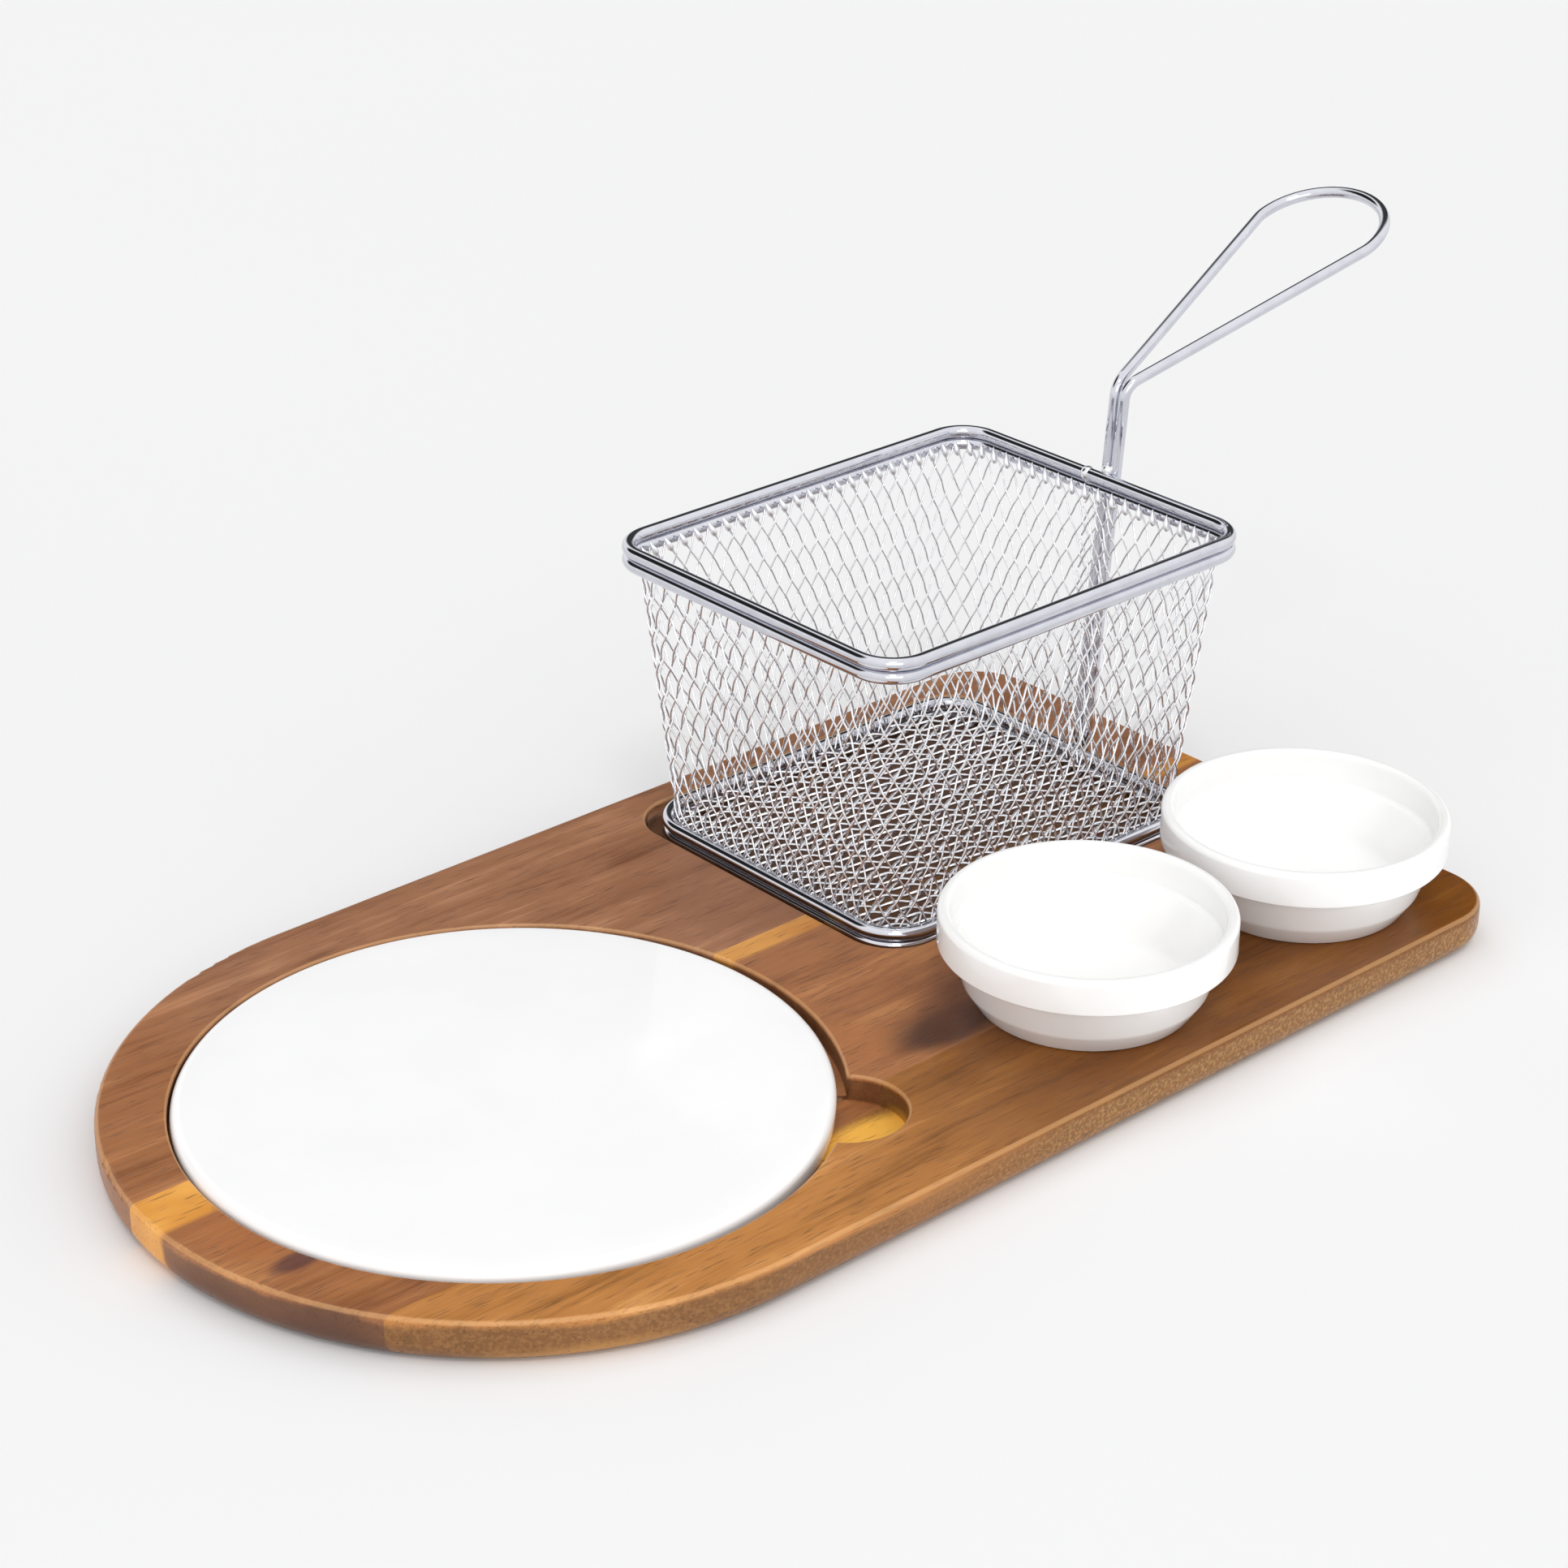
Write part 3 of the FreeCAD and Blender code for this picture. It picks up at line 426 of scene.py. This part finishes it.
def wood_middle():
    """Red-brown with dark heartwood figure and a golden sapwood wedge along its far joint."""
    graph, colour, bent, streak, fibre = wood_grain(
        "oiled_wood_middle", (0.19, 0.066, 0.024), (0.355, 0.14, 0.052), (0.50, 0.215, 0.078), 1)
    x, y, z = graph.axes(bent)
    figure = (
        ((-163, -10, 10), (10, 14, 20), (0.40, 0.14, 0.045), 0.55),
        ((-161, -27, 11), (7, 3.4, 5), (0.06, 0.022, 0.034), 0.75),
        ((-158, -46, 11), (11, 4, 4), (0.50, 0.20, 0.06), 0.35),
        ((-4, -40, 10), (9, 10, 12), (0.50, 0.19, 0.065), 0.25),
        ((20, -50, 10), (17, 9, 12), (0.065, 0.024, 0.013), 0.92),
        ((34, -42, 10), (14, 10, 12), (0.14, 0.05, 0.025), 0.6),
        ((-167, -46, 1), (22, 14, 7), (0.045, 0.02, 0.018), 0.85),
        ((-178, -18, 1), (14, 18, 7), (0.17, 0.055, 0.02), 0.7),
    )
    for centre, half, tint, share in figure:
        mask = graph.math("MULTIPLY", graph.patch(bent, centre, half), share)
        colour = graph.mix(mask, colour, tint)
    side = graph.span(z, 10.9 * MM, 9.2 * MM)
    heart = graph.math("MULTIPLY", side, graph.patch(bent, (-170, -36, 6), (28, 38, 40)))
    colour = graph.mix(graph.math("MULTIPLY", heart, 0.8), colour, (0.115, 0.05, 0.027))
    edge = graph.span(x, -178 * MM, -10 * MM, 0.0, 10.0 * MM, False)
    sapwood = graph.span(graph.math("SUBTRACT", y, edge), -0.8 * MM, 1.6 * MM)
    strength = graph.span(x, -150 * MM, -10 * MM, 0.97, 0.6)
    soft = graph.noise((30, 60, 60), 2.0, 0.5, bent)
    gold = graph.mix(graph.span(soft, 0.35, 0.65), (0.70, 0.29, 0.045), (0.88, 0.42, 0.085))
    colour = graph.mix(graph.math("MULTIPLY", sapwood, strength), colour, gold)
    return finish_wood(graph, colour, streak, fibre, 0.20)


def wood_far():
    """Plain mid-brown, with a painted shadow beside the basket, and more golden towards the round end.
    """
    graph, colour, bent, streak, fibre = wood_grain(
        "oiled_wood_far", (0.19, 0.074, 0.033), (0.33, 0.147, 0.072), (0.46, 0.222, 0.115), 2)
    # Painted shadow: the wood beside the basket is darkened as if shaded by it.
    basket_shadow = graph.patch(bent, (30, 40, 12), (26, 40, 12), 0.5)
    colour = graph.mix(graph.math("MULTIPLY", basket_shadow, 0.35), colour, (0.17, 0.06, 0.025))
    x, _, _ = graph.axes(bent)
    golden = graph.math("MULTIPLY", graph.span(x, -95 * MM, -150 * MM), 0.85)
    colour = graph.mix(golden, colour, graph.mix(1.0, colour, (1.03, 0.88, 0.60), "MULTIPLY"))
    return finish_wood(graph, colour, streak, fibre, 0.24)


def glaze(name, tint, shade):
    """Thick white glaze: faint pooling of the colour and a barely uneven skin."""
    graph = Graph(name)
    pooled = graph.noise((38, 38, 60), 2.0, 0.5)
    graph.feed(graph.shader.inputs["Base Color"],
               graph.mix(graph.span(pooled, 0.3, 0.7), shade, tint))
    speck = graph.noise((420, 420, 420), 1.0, 0.4)
    rough = graph.span(speck, 0.3, 0.8, 0.07, 0.15)
    graph.feed(graph.shader.inputs["Roughness"], rough)
    graph.shader.inputs["IOR"].default_value = 1.5
    graph.bump(graph.noise((110, 110, 110), 1.0, 0.4), 0.03 * MM, 0.5)
    return graph.material


def bright_metal(name, tint, dull, low, high, grain):
    """Polished plated wire: faint handling marks in its colour and sheen."""
    graph = Graph(name)
    marks = graph.noise((grain, grain, grain), 3.0, 0.6)
    graph.feed(graph.shader.inputs["Base Color"], graph.mix(graph.span(marks, 0.35, 0.7), tint, dull))
    graph.feed(graph.shader.inputs["Roughness"], graph.span(marks, 0.3, 0.75, low, high))
    graph.shader.inputs["Metallic"].default_value = 1.0
    graph.bump(graph.noise((300, 300, 300), 1.0, 0.5), 0.01 * MM, 0.04)
    return graph.material


def plain_stage():
    """Matt, barely uneven pale paint of the studio floor."""
    graph = Graph("pale_floor")
    soft = graph.noise((1.2, 1.2, 1.2), 1.0, 0.4)
    graph.feed(graph.shader.inputs["Base Color"],
               graph.mix(graph.span(soft, 0.3, 0.7), (0.845, 0.845, 0.85), (0.86, 0.86, 0.865)))
    graph.shader.inputs["Roughness"].default_value = 0.9
    graph.shader.inputs["Specular IOR Level"].default_value = 0.1
    return graph.material


CHROME = bright_metal("polished_rod", (0.65, 0.655, 0.71), (0.60, 0.605, 0.66), 0.04, 0.08, 160)
MESH_METAL = bright_metal("woven_wire", (0.92, 0.92, 0.94), (0.76, 0.76, 0.79), 0.08, 0.16, 320)
FOLD_METAL = bright_metal("folded_wire", (0.95, 0.95, 0.97), (0.88, 0.88, 0.91), 0.36, 0.48, 320)
WELD_METAL = bright_metal("weld_bead", (0.90, 0.90, 0.91), (0.70, 0.70, 0.72), 0.16, 0.34, 900)


# ---- board -------------------------------------------------------------------------------------

POCKET_EASE = 0.9 * MM
EASED_FROM = math.radians(60)
SHARP_FROM = math.radians(35)
FLAT_WITHIN = math.radians(0.5)
SAME_POINT = 0.002 * MM
SAME_PLANE = 0.01 * MM
JOINT_PLANES = (Span("board_stave_near").high.y, Span("board_stave_far").low.y)


def on_glue_joint(vertex):
    return any(abs(vertex.co.y - plane) < SAME_PLANE for plane in JOINT_PLANES)


def eased_stave(node, name, material):
    """The stave with the sharp rims of its pockets sanded to a small round."""
    work = bmesh.new()
    work.from_mesh(NODES[node].data)
    bmesh.ops.remove_doubles(work, verts=work.verts, dist=SAME_POINT)
    bmesh.ops.dissolve_limit(work, angle_limit=FLAT_WITHIN, verts=work.verts, edges=work.edges)
    rims = []
    for edge in work.edges:
        at_top = all(abs(v.co.z - BOARD_TOP) < SAME_PLANE for v in edge.verts)
        at_joint = all(on_glue_joint(v) for v in edge.verts)
        if at_top and not at_joint and len(edge.link_faces) == 2:
            if edge.calc_face_angle() > EASED_FROM:
                rims.append(edge)
    bmesh.ops.bevel(work, geom=rims, offset=POCKET_EASE, segments=3, profile=0.5,
                    affect="EDGES", clamp_overlap=True)
    mesh = bpy.data.meshes.new(name)
    work.to_mesh(mesh)
    work.free()
    mesh.shade_smooth()
    mesh.set_sharp_from_angle(angle=SHARP_FROM)
    piece = add_piece(name, mesh, "board", material, [node])
    weighted = piece.modifiers.new("flat_faces_stay_flat", "WEIGHTED_NORMAL")
    weighted.keep_sharp = True
    weighted.weight = 100


# ---- plate and dip bowls -----------------------------------------------------------------------

def build_plate():
    """A flat disc with a rounded edge, a shallow foot ring and a glazed underside."""
    radius, low, high = PLATE.half.x, PLATE.low.z, PLATE.high.z
    foot = 0.93 * radius
    hollow = low + 0.8 * MM
    corners = [
        (0, hollow, 0), (foot - 4 * MM, hollow, 0.5 * MM), (foot - 2.5 * MM, low, 0.4 * MM),
        (radius - 0.4 * MM, low, 1.2 * MM), (radius, high, 2.8 * MM),
        (radius * 0.9, high, 0), (radius * 0.6, high, 0), (0, high, 0),
    ]
    mesh = turned("plate_disc", eased(corners, 9), PLATE.centre, PLATE_SEGMENTS)
    add_piece("plate_disc", mesh, "plate",
              glaze("plate_white_glaze", (0.97, 0.97, 0.97), (0.95, 0.95, 0.955)), ["plate"])


RAMEKIN_GLAZE = glaze("bowl_white_glaze", (0.93, 0.93, 0.925), (0.90, 0.895, 0.885))


def build_ramekin(node, body):
    """A small stacking bowl: thick straight rim band over a tapering bowl and foot."""
    span = Span(node)
    base, top, rim = span.low.z, span.high.z, span.half.x
    band = base + 15.4 * MM
    hollow = base + 0.9 * MM
    inside = base + 4.2 * MM
    corners = [
        (0, hollow, 0), (22.9 * MM, hollow, 0.5 * MM),
        (23.8 * MM, base, 0.6 * MM), (27.6 * MM, base, 1.2 * MM),
        (31.2 * MM, base + 5.5 * MM, 5.0 * MM), (34.2 * MM, band - 0.1 * MM, 0.9 * MM),
        (rim, band + 0.2 * MM, 0.8 * MM), (rim, top, 1.5 * MM),
        (rim - 3.1 * MM, top, 1.3 * MM), (34.4 * MM, base + 17 * MM, 0.7 * MM),
        (32.2 * MM, base + 16.6 * MM, 0.7 * MM), (25.0 * MM, inside, 7.0 * MM),
        (12 * MM, inside, 0), (0, inside, 0),
    ]
    name = body + "_ramekin"
    mesh = turned(name, eased(corners), span.centre, BOWL_SEGMENTS)
    add_piece(name, mesh, body, RAMEKIN_GLAZE, [node])


# ---- basket rods and handle ----------------------------------------------------------------------

def rounded_ring(half_x, half_y, radius, height, steps=14):
    """Points once round a rounded rectangle centred on the basket."""
    points = []
    for quarter in range(4):
        sx = 1 if quarter in (0, 3) else -1
        sy = 1 if quarter in (0, 1) else -1
        for step in range(steps + 1):
            angle = math.pi / 2 * (quarter + step / steps)
            x = sx * (half_x - radius) + radius * math.cos(angle)
            y = sy * (half_y - radius) + radius * math.sin(angle)
            points.append(BASKET + Vector((x, y, height)))
    return points


def build_rods():
    """The two rim rods and the two base rods, each a closed ring of round wire."""
    rods = (("rim_rod_upper", RIM, RIM_CORNER), ("rim_rod_lower", RIM_LOWER, RIM_CORNER),
            ("base_rod_upper", BASE, BASE_CORNER), ("base_rod_lower", BASE_LOWER, BASE_CORNER))
    for node, span, corner in rods:
        ring = rounded_ring(span.half.x - ROD_RADIUS, span.half.y - ROD_RADIUS, corner, span.centre.z)
        mesh = tubes(node + "_wire", [(ring, ROD_RADIUS, True)], ROD_SIDES)
        add_piece(node + "_wire", mesh, "basket", CHROME, [node])


HANDLE_RADIUS = 1.6 * MM
LEG_HALF_PITCH = 1.65 * MM
LOOP_RISE = math.radians(19.2)
LOOP_SPREAD = math.radians(12.7)
LOOP_REACH = 102.2 * MM
LOOP_END = 20 * MM
LOOP_SHOULDER = 12 * MM
LEG_BEND = 6 * MM
BEND_HEIGHT = 120 * MM
LEG_TIP = 0.55


def leg_x(height):
    """X of the handle legs, which lean with the right wall of the basket."""
    share = (height - BASE.centre.z) / (RIM.centre.z - BASE.centre.z)
    outer = BASE.half.x + (RIM.half.x - BASE.half.x) * share
    return BASKET.x + outer + HANDLE_RADIUS


def arc_points(centre, start, finish, steps):
    """Points from start to finish round a centre, the short way."""
    first, last = start - centre, finish - centre
    axis = first.cross(last).normalized()
    turn = first.angle(last)
    return [centre + Matrix.Rotation(turn * k / steps, 3, axis) @ first for k in range(steps + 1)]


def handle_half():
    """Centre line of one leg and half the loop, from the foot to the loop's tip."""
    origin = Vector((leg_x(BEND_HEIGHT), HANDLE.centre.y, BEND_HEIGHT))
    along = Vector((math.cos(LOOP_RISE), 0, math.sin(LOOP_RISE)))
    across = Vector((0, 1, 0))

    def spot(u, w):
        return origin + along * u + across * w

    slope = math.tan(LOOP_SPREAD)
    middle = LOOP_REACH - LOOP_END
    offset = LEG_HALF_PITCH - LOOP_SHOULDER / math.cos(LOOP_SPREAD)
    a = 1 + slope * slope
    b = 2 * (slope * offset - middle)
    c = middle ** 2 + offset ** 2 - (LOOP_END - LOOP_SHOULDER) ** 2
    p = (-b + math.sqrt(b * b - 4 * a * c)) / (2 * a)
    q = offset + p * slope
    leave = (p - LOOP_SHOULDER * math.sin(LOOP_SPREAD), q + LOOP_SHOULDER * math.cos(LOOP_SPREAD))
    reach = math.hypot(p - middle, q)
    meet = (middle + LOOP_END * (p - middle) / reach, LOOP_END * q / reach)
    foot_z = HANDLE.low.z + 0.2 * MM
    foot = Vector((leg_x(foot_z), HANDLE.centre.y + LEG_HALF_PITCH, foot_z))
    knee = spot(0, LEG_HALF_PITCH)
    down = (foot - knee).normalized()
    away = (spot(*leave) - knee).normalized()
    opening = down.angle(away)
    back = LEG_BEND / math.tan(opening / 2)
    centre = knee + (down + away).normalized() * (LEG_BEND / math.sin(opening / 2))
    points = [foot + (knee - foot) * (k / 12) for k in range(11)]
    points += arc_points(centre, knee + down * back, knee + away * back, 14)
    points += [spot(*leave) + (knee - spot(*leave)) * (1 - k / 10) for k in range(2, 10)]
    points += arc_points(spot(p, q), spot(*leave), spot(*meet), 10)
    points += arc_points(spot(middle, 0), spot(*meet), spot(LOOP_REACH, 0), 14)[1:]
    return points


def build_handle():
    """One wire: up a leg, round the teardrop loop and down the other leg."""
    half = handle_half()
    line = HANDLE.centre.y
    other = [Vector((p.x, 2 * line - p.y, p.z)) for p in reversed(half[:-1])]
    points = half + other
    tip = HANDLE_RADIUS * LEG_TIP
    radii = [tip] + [HANDLE_RADIUS] * (len(points) - 2) + [tip]
    mesh = tubes("handle_loop_wire", [(points, radii, False)], ROD_SIDES)
    add_piece("handle_loop_wire", mesh, "basket", CHROME, ["handle_wire"])


# ---- woven mesh ------------------------------------------------------------------------------------

def mesh_sizes(height):
    """Half length, half width and corner radius of the side mesh at a height."""
    share = (height - BASE.centre.z) / (RIM.centre.z - BASE.centre.z)
    inset = 2 * ROD_RADIUS + SIDE_CRIMP + SIDE_WIRE + MESH_CLEARANCE
    half_x = BASE.half.x + (RIM.half.x - BASE.half.x) * share - inset
    half_y = BASE.half.y + (RIM.half.y - BASE.half.y) * share - inset
    corner = BASE_CORNER + (RIM_CORNER - BASE_CORNER) * share + ROD_RADIUS - inset
    return half_x, half_y, corner


def side_shares():
    """Share of the way round taken by each run and bend, from half way up the side."""
    half_x, half_y, corner = mesh_sizes((RIM.centre.z + BASE.centre.z) / 2)
    bend = math.pi / 2 * corner
    lengths = [half_y - corner, bend, 2 * (half_x - corner), bend, 2 * (half_y - corner),
               bend, 2 * (half_x - corner), bend, half_y - corner]
    total = sum(lengths)
    return [length / total for length in lengths]


SHARES = side_shares()


def side_spot(turn, height, out=0.0):
    """Point of the side mesh at a share of the way round from the middle of its right wall."""
    half_x, half_y, corner = mesh_sizes(height)
    ix, iy = half_x - corner, half_y - corner
    turn %= 1.0
    section = 0
    while section < 8 and turn > SHARES[section]:
        turn -= SHARES[section]
        section += 1
    part = turn / SHARES[section]
    if section % 2:
        angle = math.pi / 2 * (section // 2 + part)
        sx = 1 if section in (1, 7) else -1
        sy = 1 if section in (1, 3) else -1
        reach = corner + out
        x, y = sx * ix + reach * math.cos(angle), sy * iy + reach * math.sin(angle)
    elif section == 0:
        x, y = half_x + out, iy * part
    elif section == 8:
        x, y = half_x + out, -iy * (1 - part)
    elif section == 2:
        x, y = ix * (1 - 2 * part), half_y + out
    elif section == 4:
        x, y = -half_x - out, iy * (1 - 2 * part)
    else:
        x, y = -ix * (1 - 2 * part), -half_y - out
    return BASKET + Vector((x, y, height))


MESH_LOW = WALL_MESH.low.z + SIDE_WIRE
MESH_HIGH = RIM_LOWER.centre.z + 0.4 * MM
CROSSINGS = 2 * (MESH_HIGH - MESH_LOW) / CELL_HEIGHT


def wire_steps(first, lean):
    """Share of the way round, height and crimp at each step of a wire going up the side."""
    steps = int(CROSSINGS * STEPS_PER_CROSSING)
    for step in range(steps + 1):
        row = CROSSINGS * step / steps
        column = first + lean * row
        height = MESH_LOW + (MESH_HIGH - MESH_LOW) * step / steps
        yield column / (2 * CELLS_ROUND), height, lean * SIDE_CRIMP * math.cos(math.pi * column)


def side_wire(number, lean):
    """One crimped wire of the side mesh, from its bottom edge to its top edge."""
    return [side_spot(turn, height, out) for turn, height, out in wire_steps(2 * number, lean)]


def build_side_mesh():
    """The side strip's wires, as one piece for each of the two ways they lean."""
    walls = [name for name in NODES if name.startswith(("mesh_wall", "mesh_corner"))]
    for lean, name, nodes in ((1, "side_wires_leaning_left", walls[:4]),
                              (-1, "side_wires_leaning_right", walls[4:])):
        runs = [(side_wire(number, lean), SIDE_WIRE, False) for number in range(CELLS_ROUND)]
        add_piece(name, tubes(name, runs, WIRE_SIDES), "basket", MESH_METAL, nodes)


SEAM_CELLS = (-1.9, 0.5)
SEAM_REACH = 14
SEAM_INSET = 2.2 * SIDE_WIRE


def build_seam():
    """Where the strip's two ends overlap beside the handle the wires lie twice as close."""
    low_turn, high_turn = (cells / CELLS_ROUND for cells in SEAM_CELLS)
    runs = []
    for lean in (1, -1):
        for number in range(-SEAM_REACH, SEAM_REACH):
            run = []
            for turn, height, out in wire_steps(2 * number + 1, lean):
                if low_turn <= turn <= high_turn:
                    run.append(side_spot(turn, height, out - SEAM_INSET))
                elif run:
                    runs.append(run)
                    run = []
            runs.append(run)
    wires = [(run, SIDE_WIRE, False) for run in runs if len(run) > 2]
    mesh = tubes("mesh_seam_wires", wires, WIRE_SIDES)
    add_piece("mesh_seam_wires", mesh, "basket", MESH_METAL)


TOOTH_WIDTHS = [0.45 * MM, 0.95 * MM, 0.80 * MM, 0.12 * MM]
TOOTH_RUNGS = (
    (-0.16, -2.5 * MM, -0.80 * MM),
    (-0.10, -1.6 * MM, -0.90 * MM),
    (0.0, -0.3 * MM, -0.85 * MM),
    (0.12, 1.7 * MM, -0.30 * MM),
)


def build_teeth():
    """The strip's top edge, folded over the lower rim rod: a bright point at every cell."""
    runs = []
    for cell in range(CELLS_ROUND):
        spots = []
        for shift, rise, out in TOOTH_RUNGS:
            turn = (cell + 0.5 + shift) / CELLS_ROUND
            spots.append(side_spot(turn, MESH_HIGH + rise, out))
        runs.append((spots, TOOTH_WIDTHS, False))
    mesh = tubes("rim_fold_teeth", runs, TOOTH_SIDES)
    add_piece("rim_fold_teeth", mesh, "basket", FOLD_METAL)


def inside_floor(x, y, half_x, half_y, corner):
    """True inside a rounded rectangle centred on the basket."""
    past_x, past_y = abs(x) - (half_x - corner), abs(y) - (half_y - corner)
    if past_x > 0 and past_y > 0:
        return math.hypot(past_x, past_y) <= corner
    return past_x <= corner and past_y <= corner


def build_floor_mesh():
    """The floor's crimped wires, cut to the rounded outline of the base."""
    half_x, half_y, corner = mesh_sizes(FLOOR_MESH.centre.z)
    step_x, step_y = FLOOR_CELL[0] / 2, FLOOR_CELL[1] / 2
    middle = FLOOR_MESH.centre.z
    columns = int(half_x / step_x) + 1
    steps = columns * STEPS_PER_CROSSING
    span = columns + int(half_y / step_y) + 1
    for lean, name, nodes in ((1, "floor_wires_rising", ["mesh_floor"]),
                              (-1, "floor_wires_falling", [])):
        runs = []
        for number in range(-span, span + 1):
            run = []
            for step in range(-steps, steps + 1):
                column = step / STEPS_PER_CROSSING
                row = lean * column + 2 * number
                x, y = column * step_x, row * step_y
                if inside_floor(x, y, half_x, half_y, corner):
                    lift = lean * FLOOR_CRIMP * math.cos(math.pi * column)
                    run.append(BASKET + Vector((x, y, middle + lift)))
            if len(run) > 3:
                runs.append((run, FLOOR_WIRE, False))
        mesh = tubes(name, runs, WIRE_SIDES)
        add_piece(name, mesh, "basket", MESH_METAL, nodes)


# ---- camera, floor and light ---------------------------------------------------------------------

# Angles in degrees, the lens in millimetres, distance and target in metres.
CAMERA_LENS = 84.7
CAMERA_YAW = 48.01
CAMERA_PITCH = 26.70
CAMERA_ROLL = 0.23
CAMERA_DISTANCE = 1.0612
CAMERA_TARGET = Vector((94.2, 94.2, 0)) * MM

FLOOR_REACH = 6.0
FILL_FROM = (-1.9, -2.7, 1.7)
FILL_AIM = (0.05, 0, 0.03)
FILL_SIZE = (2.4, 1.8)
FILL_POWER = 12


def build_camera():
    yaw, pitch, roll = (math.radians(a) for a in (CAMERA_YAW, CAMERA_PITCH, CAMERA_ROLL))
    level = math.cos(pitch)
    forward = Vector((math.cos(yaw) * level, math.sin(yaw) * level, -math.sin(pitch)))
    right = Vector((math.sin(yaw), -math.cos(yaw), 0))
    up = right.cross(forward)
    tilted_right = right * math.cos(roll) + up * math.sin(roll)
    tilted_up = up * math.cos(roll) - right * math.sin(roll)
    turn = Matrix((tilted_right, tilted_up, -forward)).transposed().to_4x4()
    data = bpy.data.cameras.new("camera")
    data.lens = CAMERA_LENS
    camera = bpy.data.objects.new("camera", data)
    camera.matrix_world = Matrix.Translation(CAMERA_TARGET - forward * CAMERA_DISTANCE) @ turn
    bpy.context.scene.collection.objects.link(camera)
    bpy.context.scene.camera = camera


def build_floor():
    mesh = bpy.data.meshes.new("studio_floor")
    corners = [(x * FLOOR_REACH, y * FLOOR_REACH, 0) for x, y in ((-1, -1), (1, -1), (1, 1), (-1, 1))]
    mesh.from_pydata(corners, [], [(0, 1, 2, 3)])
    mesh.materials.append(plain_stage())
    floor = bpy.data.objects.new("studio_floor", mesh)
    bpy.context.scene.collection.objects.link(floor)


def soft_light(name, place, aim, size, power):
    data = bpy.data.lights.new(name, "AREA")
    data.shape = "RECTANGLE"
    data.size, data.size_y = size
    data.energy = power
    light = bpy.data.objects.new(name, data)
    light.location = place
    light.rotation_euler = (Vector(aim) - Vector(place)).to_track_quat("-Z", "Y").to_euler()
    bpy.context.scene.collection.objects.link(light)


SKY_STRENGTH = 1.055
SKY_HORIZON = 1.0
SKY_TOP = 1.12
KEY_LEVEL = 0.42
KEY_WIDTH = 11
KEY_FROM = (-0.95, -1.2, 2.4)
# Degrees: azimuth, elevation and the two angles each screen fades between; then its brightness.
DARK_SCREENS = (
    (117, 36, 17, 27, 0.02),
    (38, 31, 19, 33, 0.05),
)


def sky_span(tree, value, limits):
    """Smooth ramp over the first two limits, from the third to the fourth."""
    ramp = tree.nodes.new("ShaderNodeMapRange")
    ramp.interpolation_type = "SMOOTHSTEP"
    tree.links.new(value, ramp.inputs[0])
    for socket, number in zip(list(ramp.inputs)[1:5], limits):
        socket.default_value = number
    return ramp.outputs[0]


def build_sky():
    """A pale studio, a little brighter above, with two dark screens for the metal to reflect."""
    world = bpy.data.worlds.new("studio")
    world.use_nodes = True
    tree = world.node_tree
    place = tree.nodes.new("ShaderNodeTexCoord").outputs["Generated"]
    axes = tree.nodes.new("ShaderNodeSeparateXYZ")
    tree.links.new(place, axes.inputs[0])
    level = sky_span(tree, axes.outputs["Z"], (0.0, 1.0, SKY_HORIZON, SKY_TOP))
    for azimuth, elevation, inner, outer, factor in DARK_SCREENS:
        turn, lift = math.radians(azimuth), math.radians(elevation)
        facing = tree.nodes.new("ShaderNodeVectorMath")
        facing.operation = "DOT_PRODUCT"
        tree.links.new(place, facing.inputs[0])
        facing.inputs[1].default_value = (
            math.cos(turn) * math.cos(lift), math.sin(turn) * math.cos(lift), math.sin(lift))
        edges = (math.cos(math.radians(outer)), math.cos(math.radians(inner)), 1.0, factor)
        dim = sky_span(tree, facing.outputs["Value"], edges)
        product = tree.nodes.new("ShaderNodeMath")
        product.operation = "MULTIPLY"
        tree.links.new(level, product.inputs[0])
        tree.links.new(dim, product.inputs[1])
        level = product.outputs[0]
    tree.links.new(level, tree.nodes["Background"].inputs["Color"])
    tree.nodes["Background"].inputs["Strength"].default_value = SKY_STRENGTH
    bpy.context.scene.world = world


def build_light():
    """The sky, a weak fill from the front and a broad soft sun for an evenly lit floor."""
    build_sky()
    soft_light("front_fill", FILL_FROM, FILL_AIM, FILL_SIZE, FILL_POWER)
    key = bpy.data.lights.new("key_panel", "SUN")
    key.energy = KEY_LEVEL
    key.angle = math.radians(KEY_WIDTH)
    panel = bpy.data.objects.new("key_panel", key)
    panel.rotation_euler = Vector(KEY_FROM).to_track_quat("Z", "Y").to_euler()
    bpy.context.scene.collection.objects.link(panel)
    bpy.context.scene.view_settings.view_transform = "Standard"


build_camera()
build_floor()
build_light()
eased_stave("board_stave_near", "near_stave", wood_near())
eased_stave("board_stave_middle", "middle_stave", wood_middle())
eased_stave("board_stave_far", "far_stave", wood_far())
build_plate()
build_ramekin("ramekin_front", "dip_bowl_front")
build_ramekin("ramekin_rear", "dip_bowl_rear")
build_rods()
build_handle()
build_side_mesh()
build_seam()
build_teeth()
build_floor_mesh()
for weld in ("weld_handle_rim", "weld_rim_joint"):
    NODES[weld].data.materials.clear()
    NODES[weld].data.materials.append(WELD_METAL)
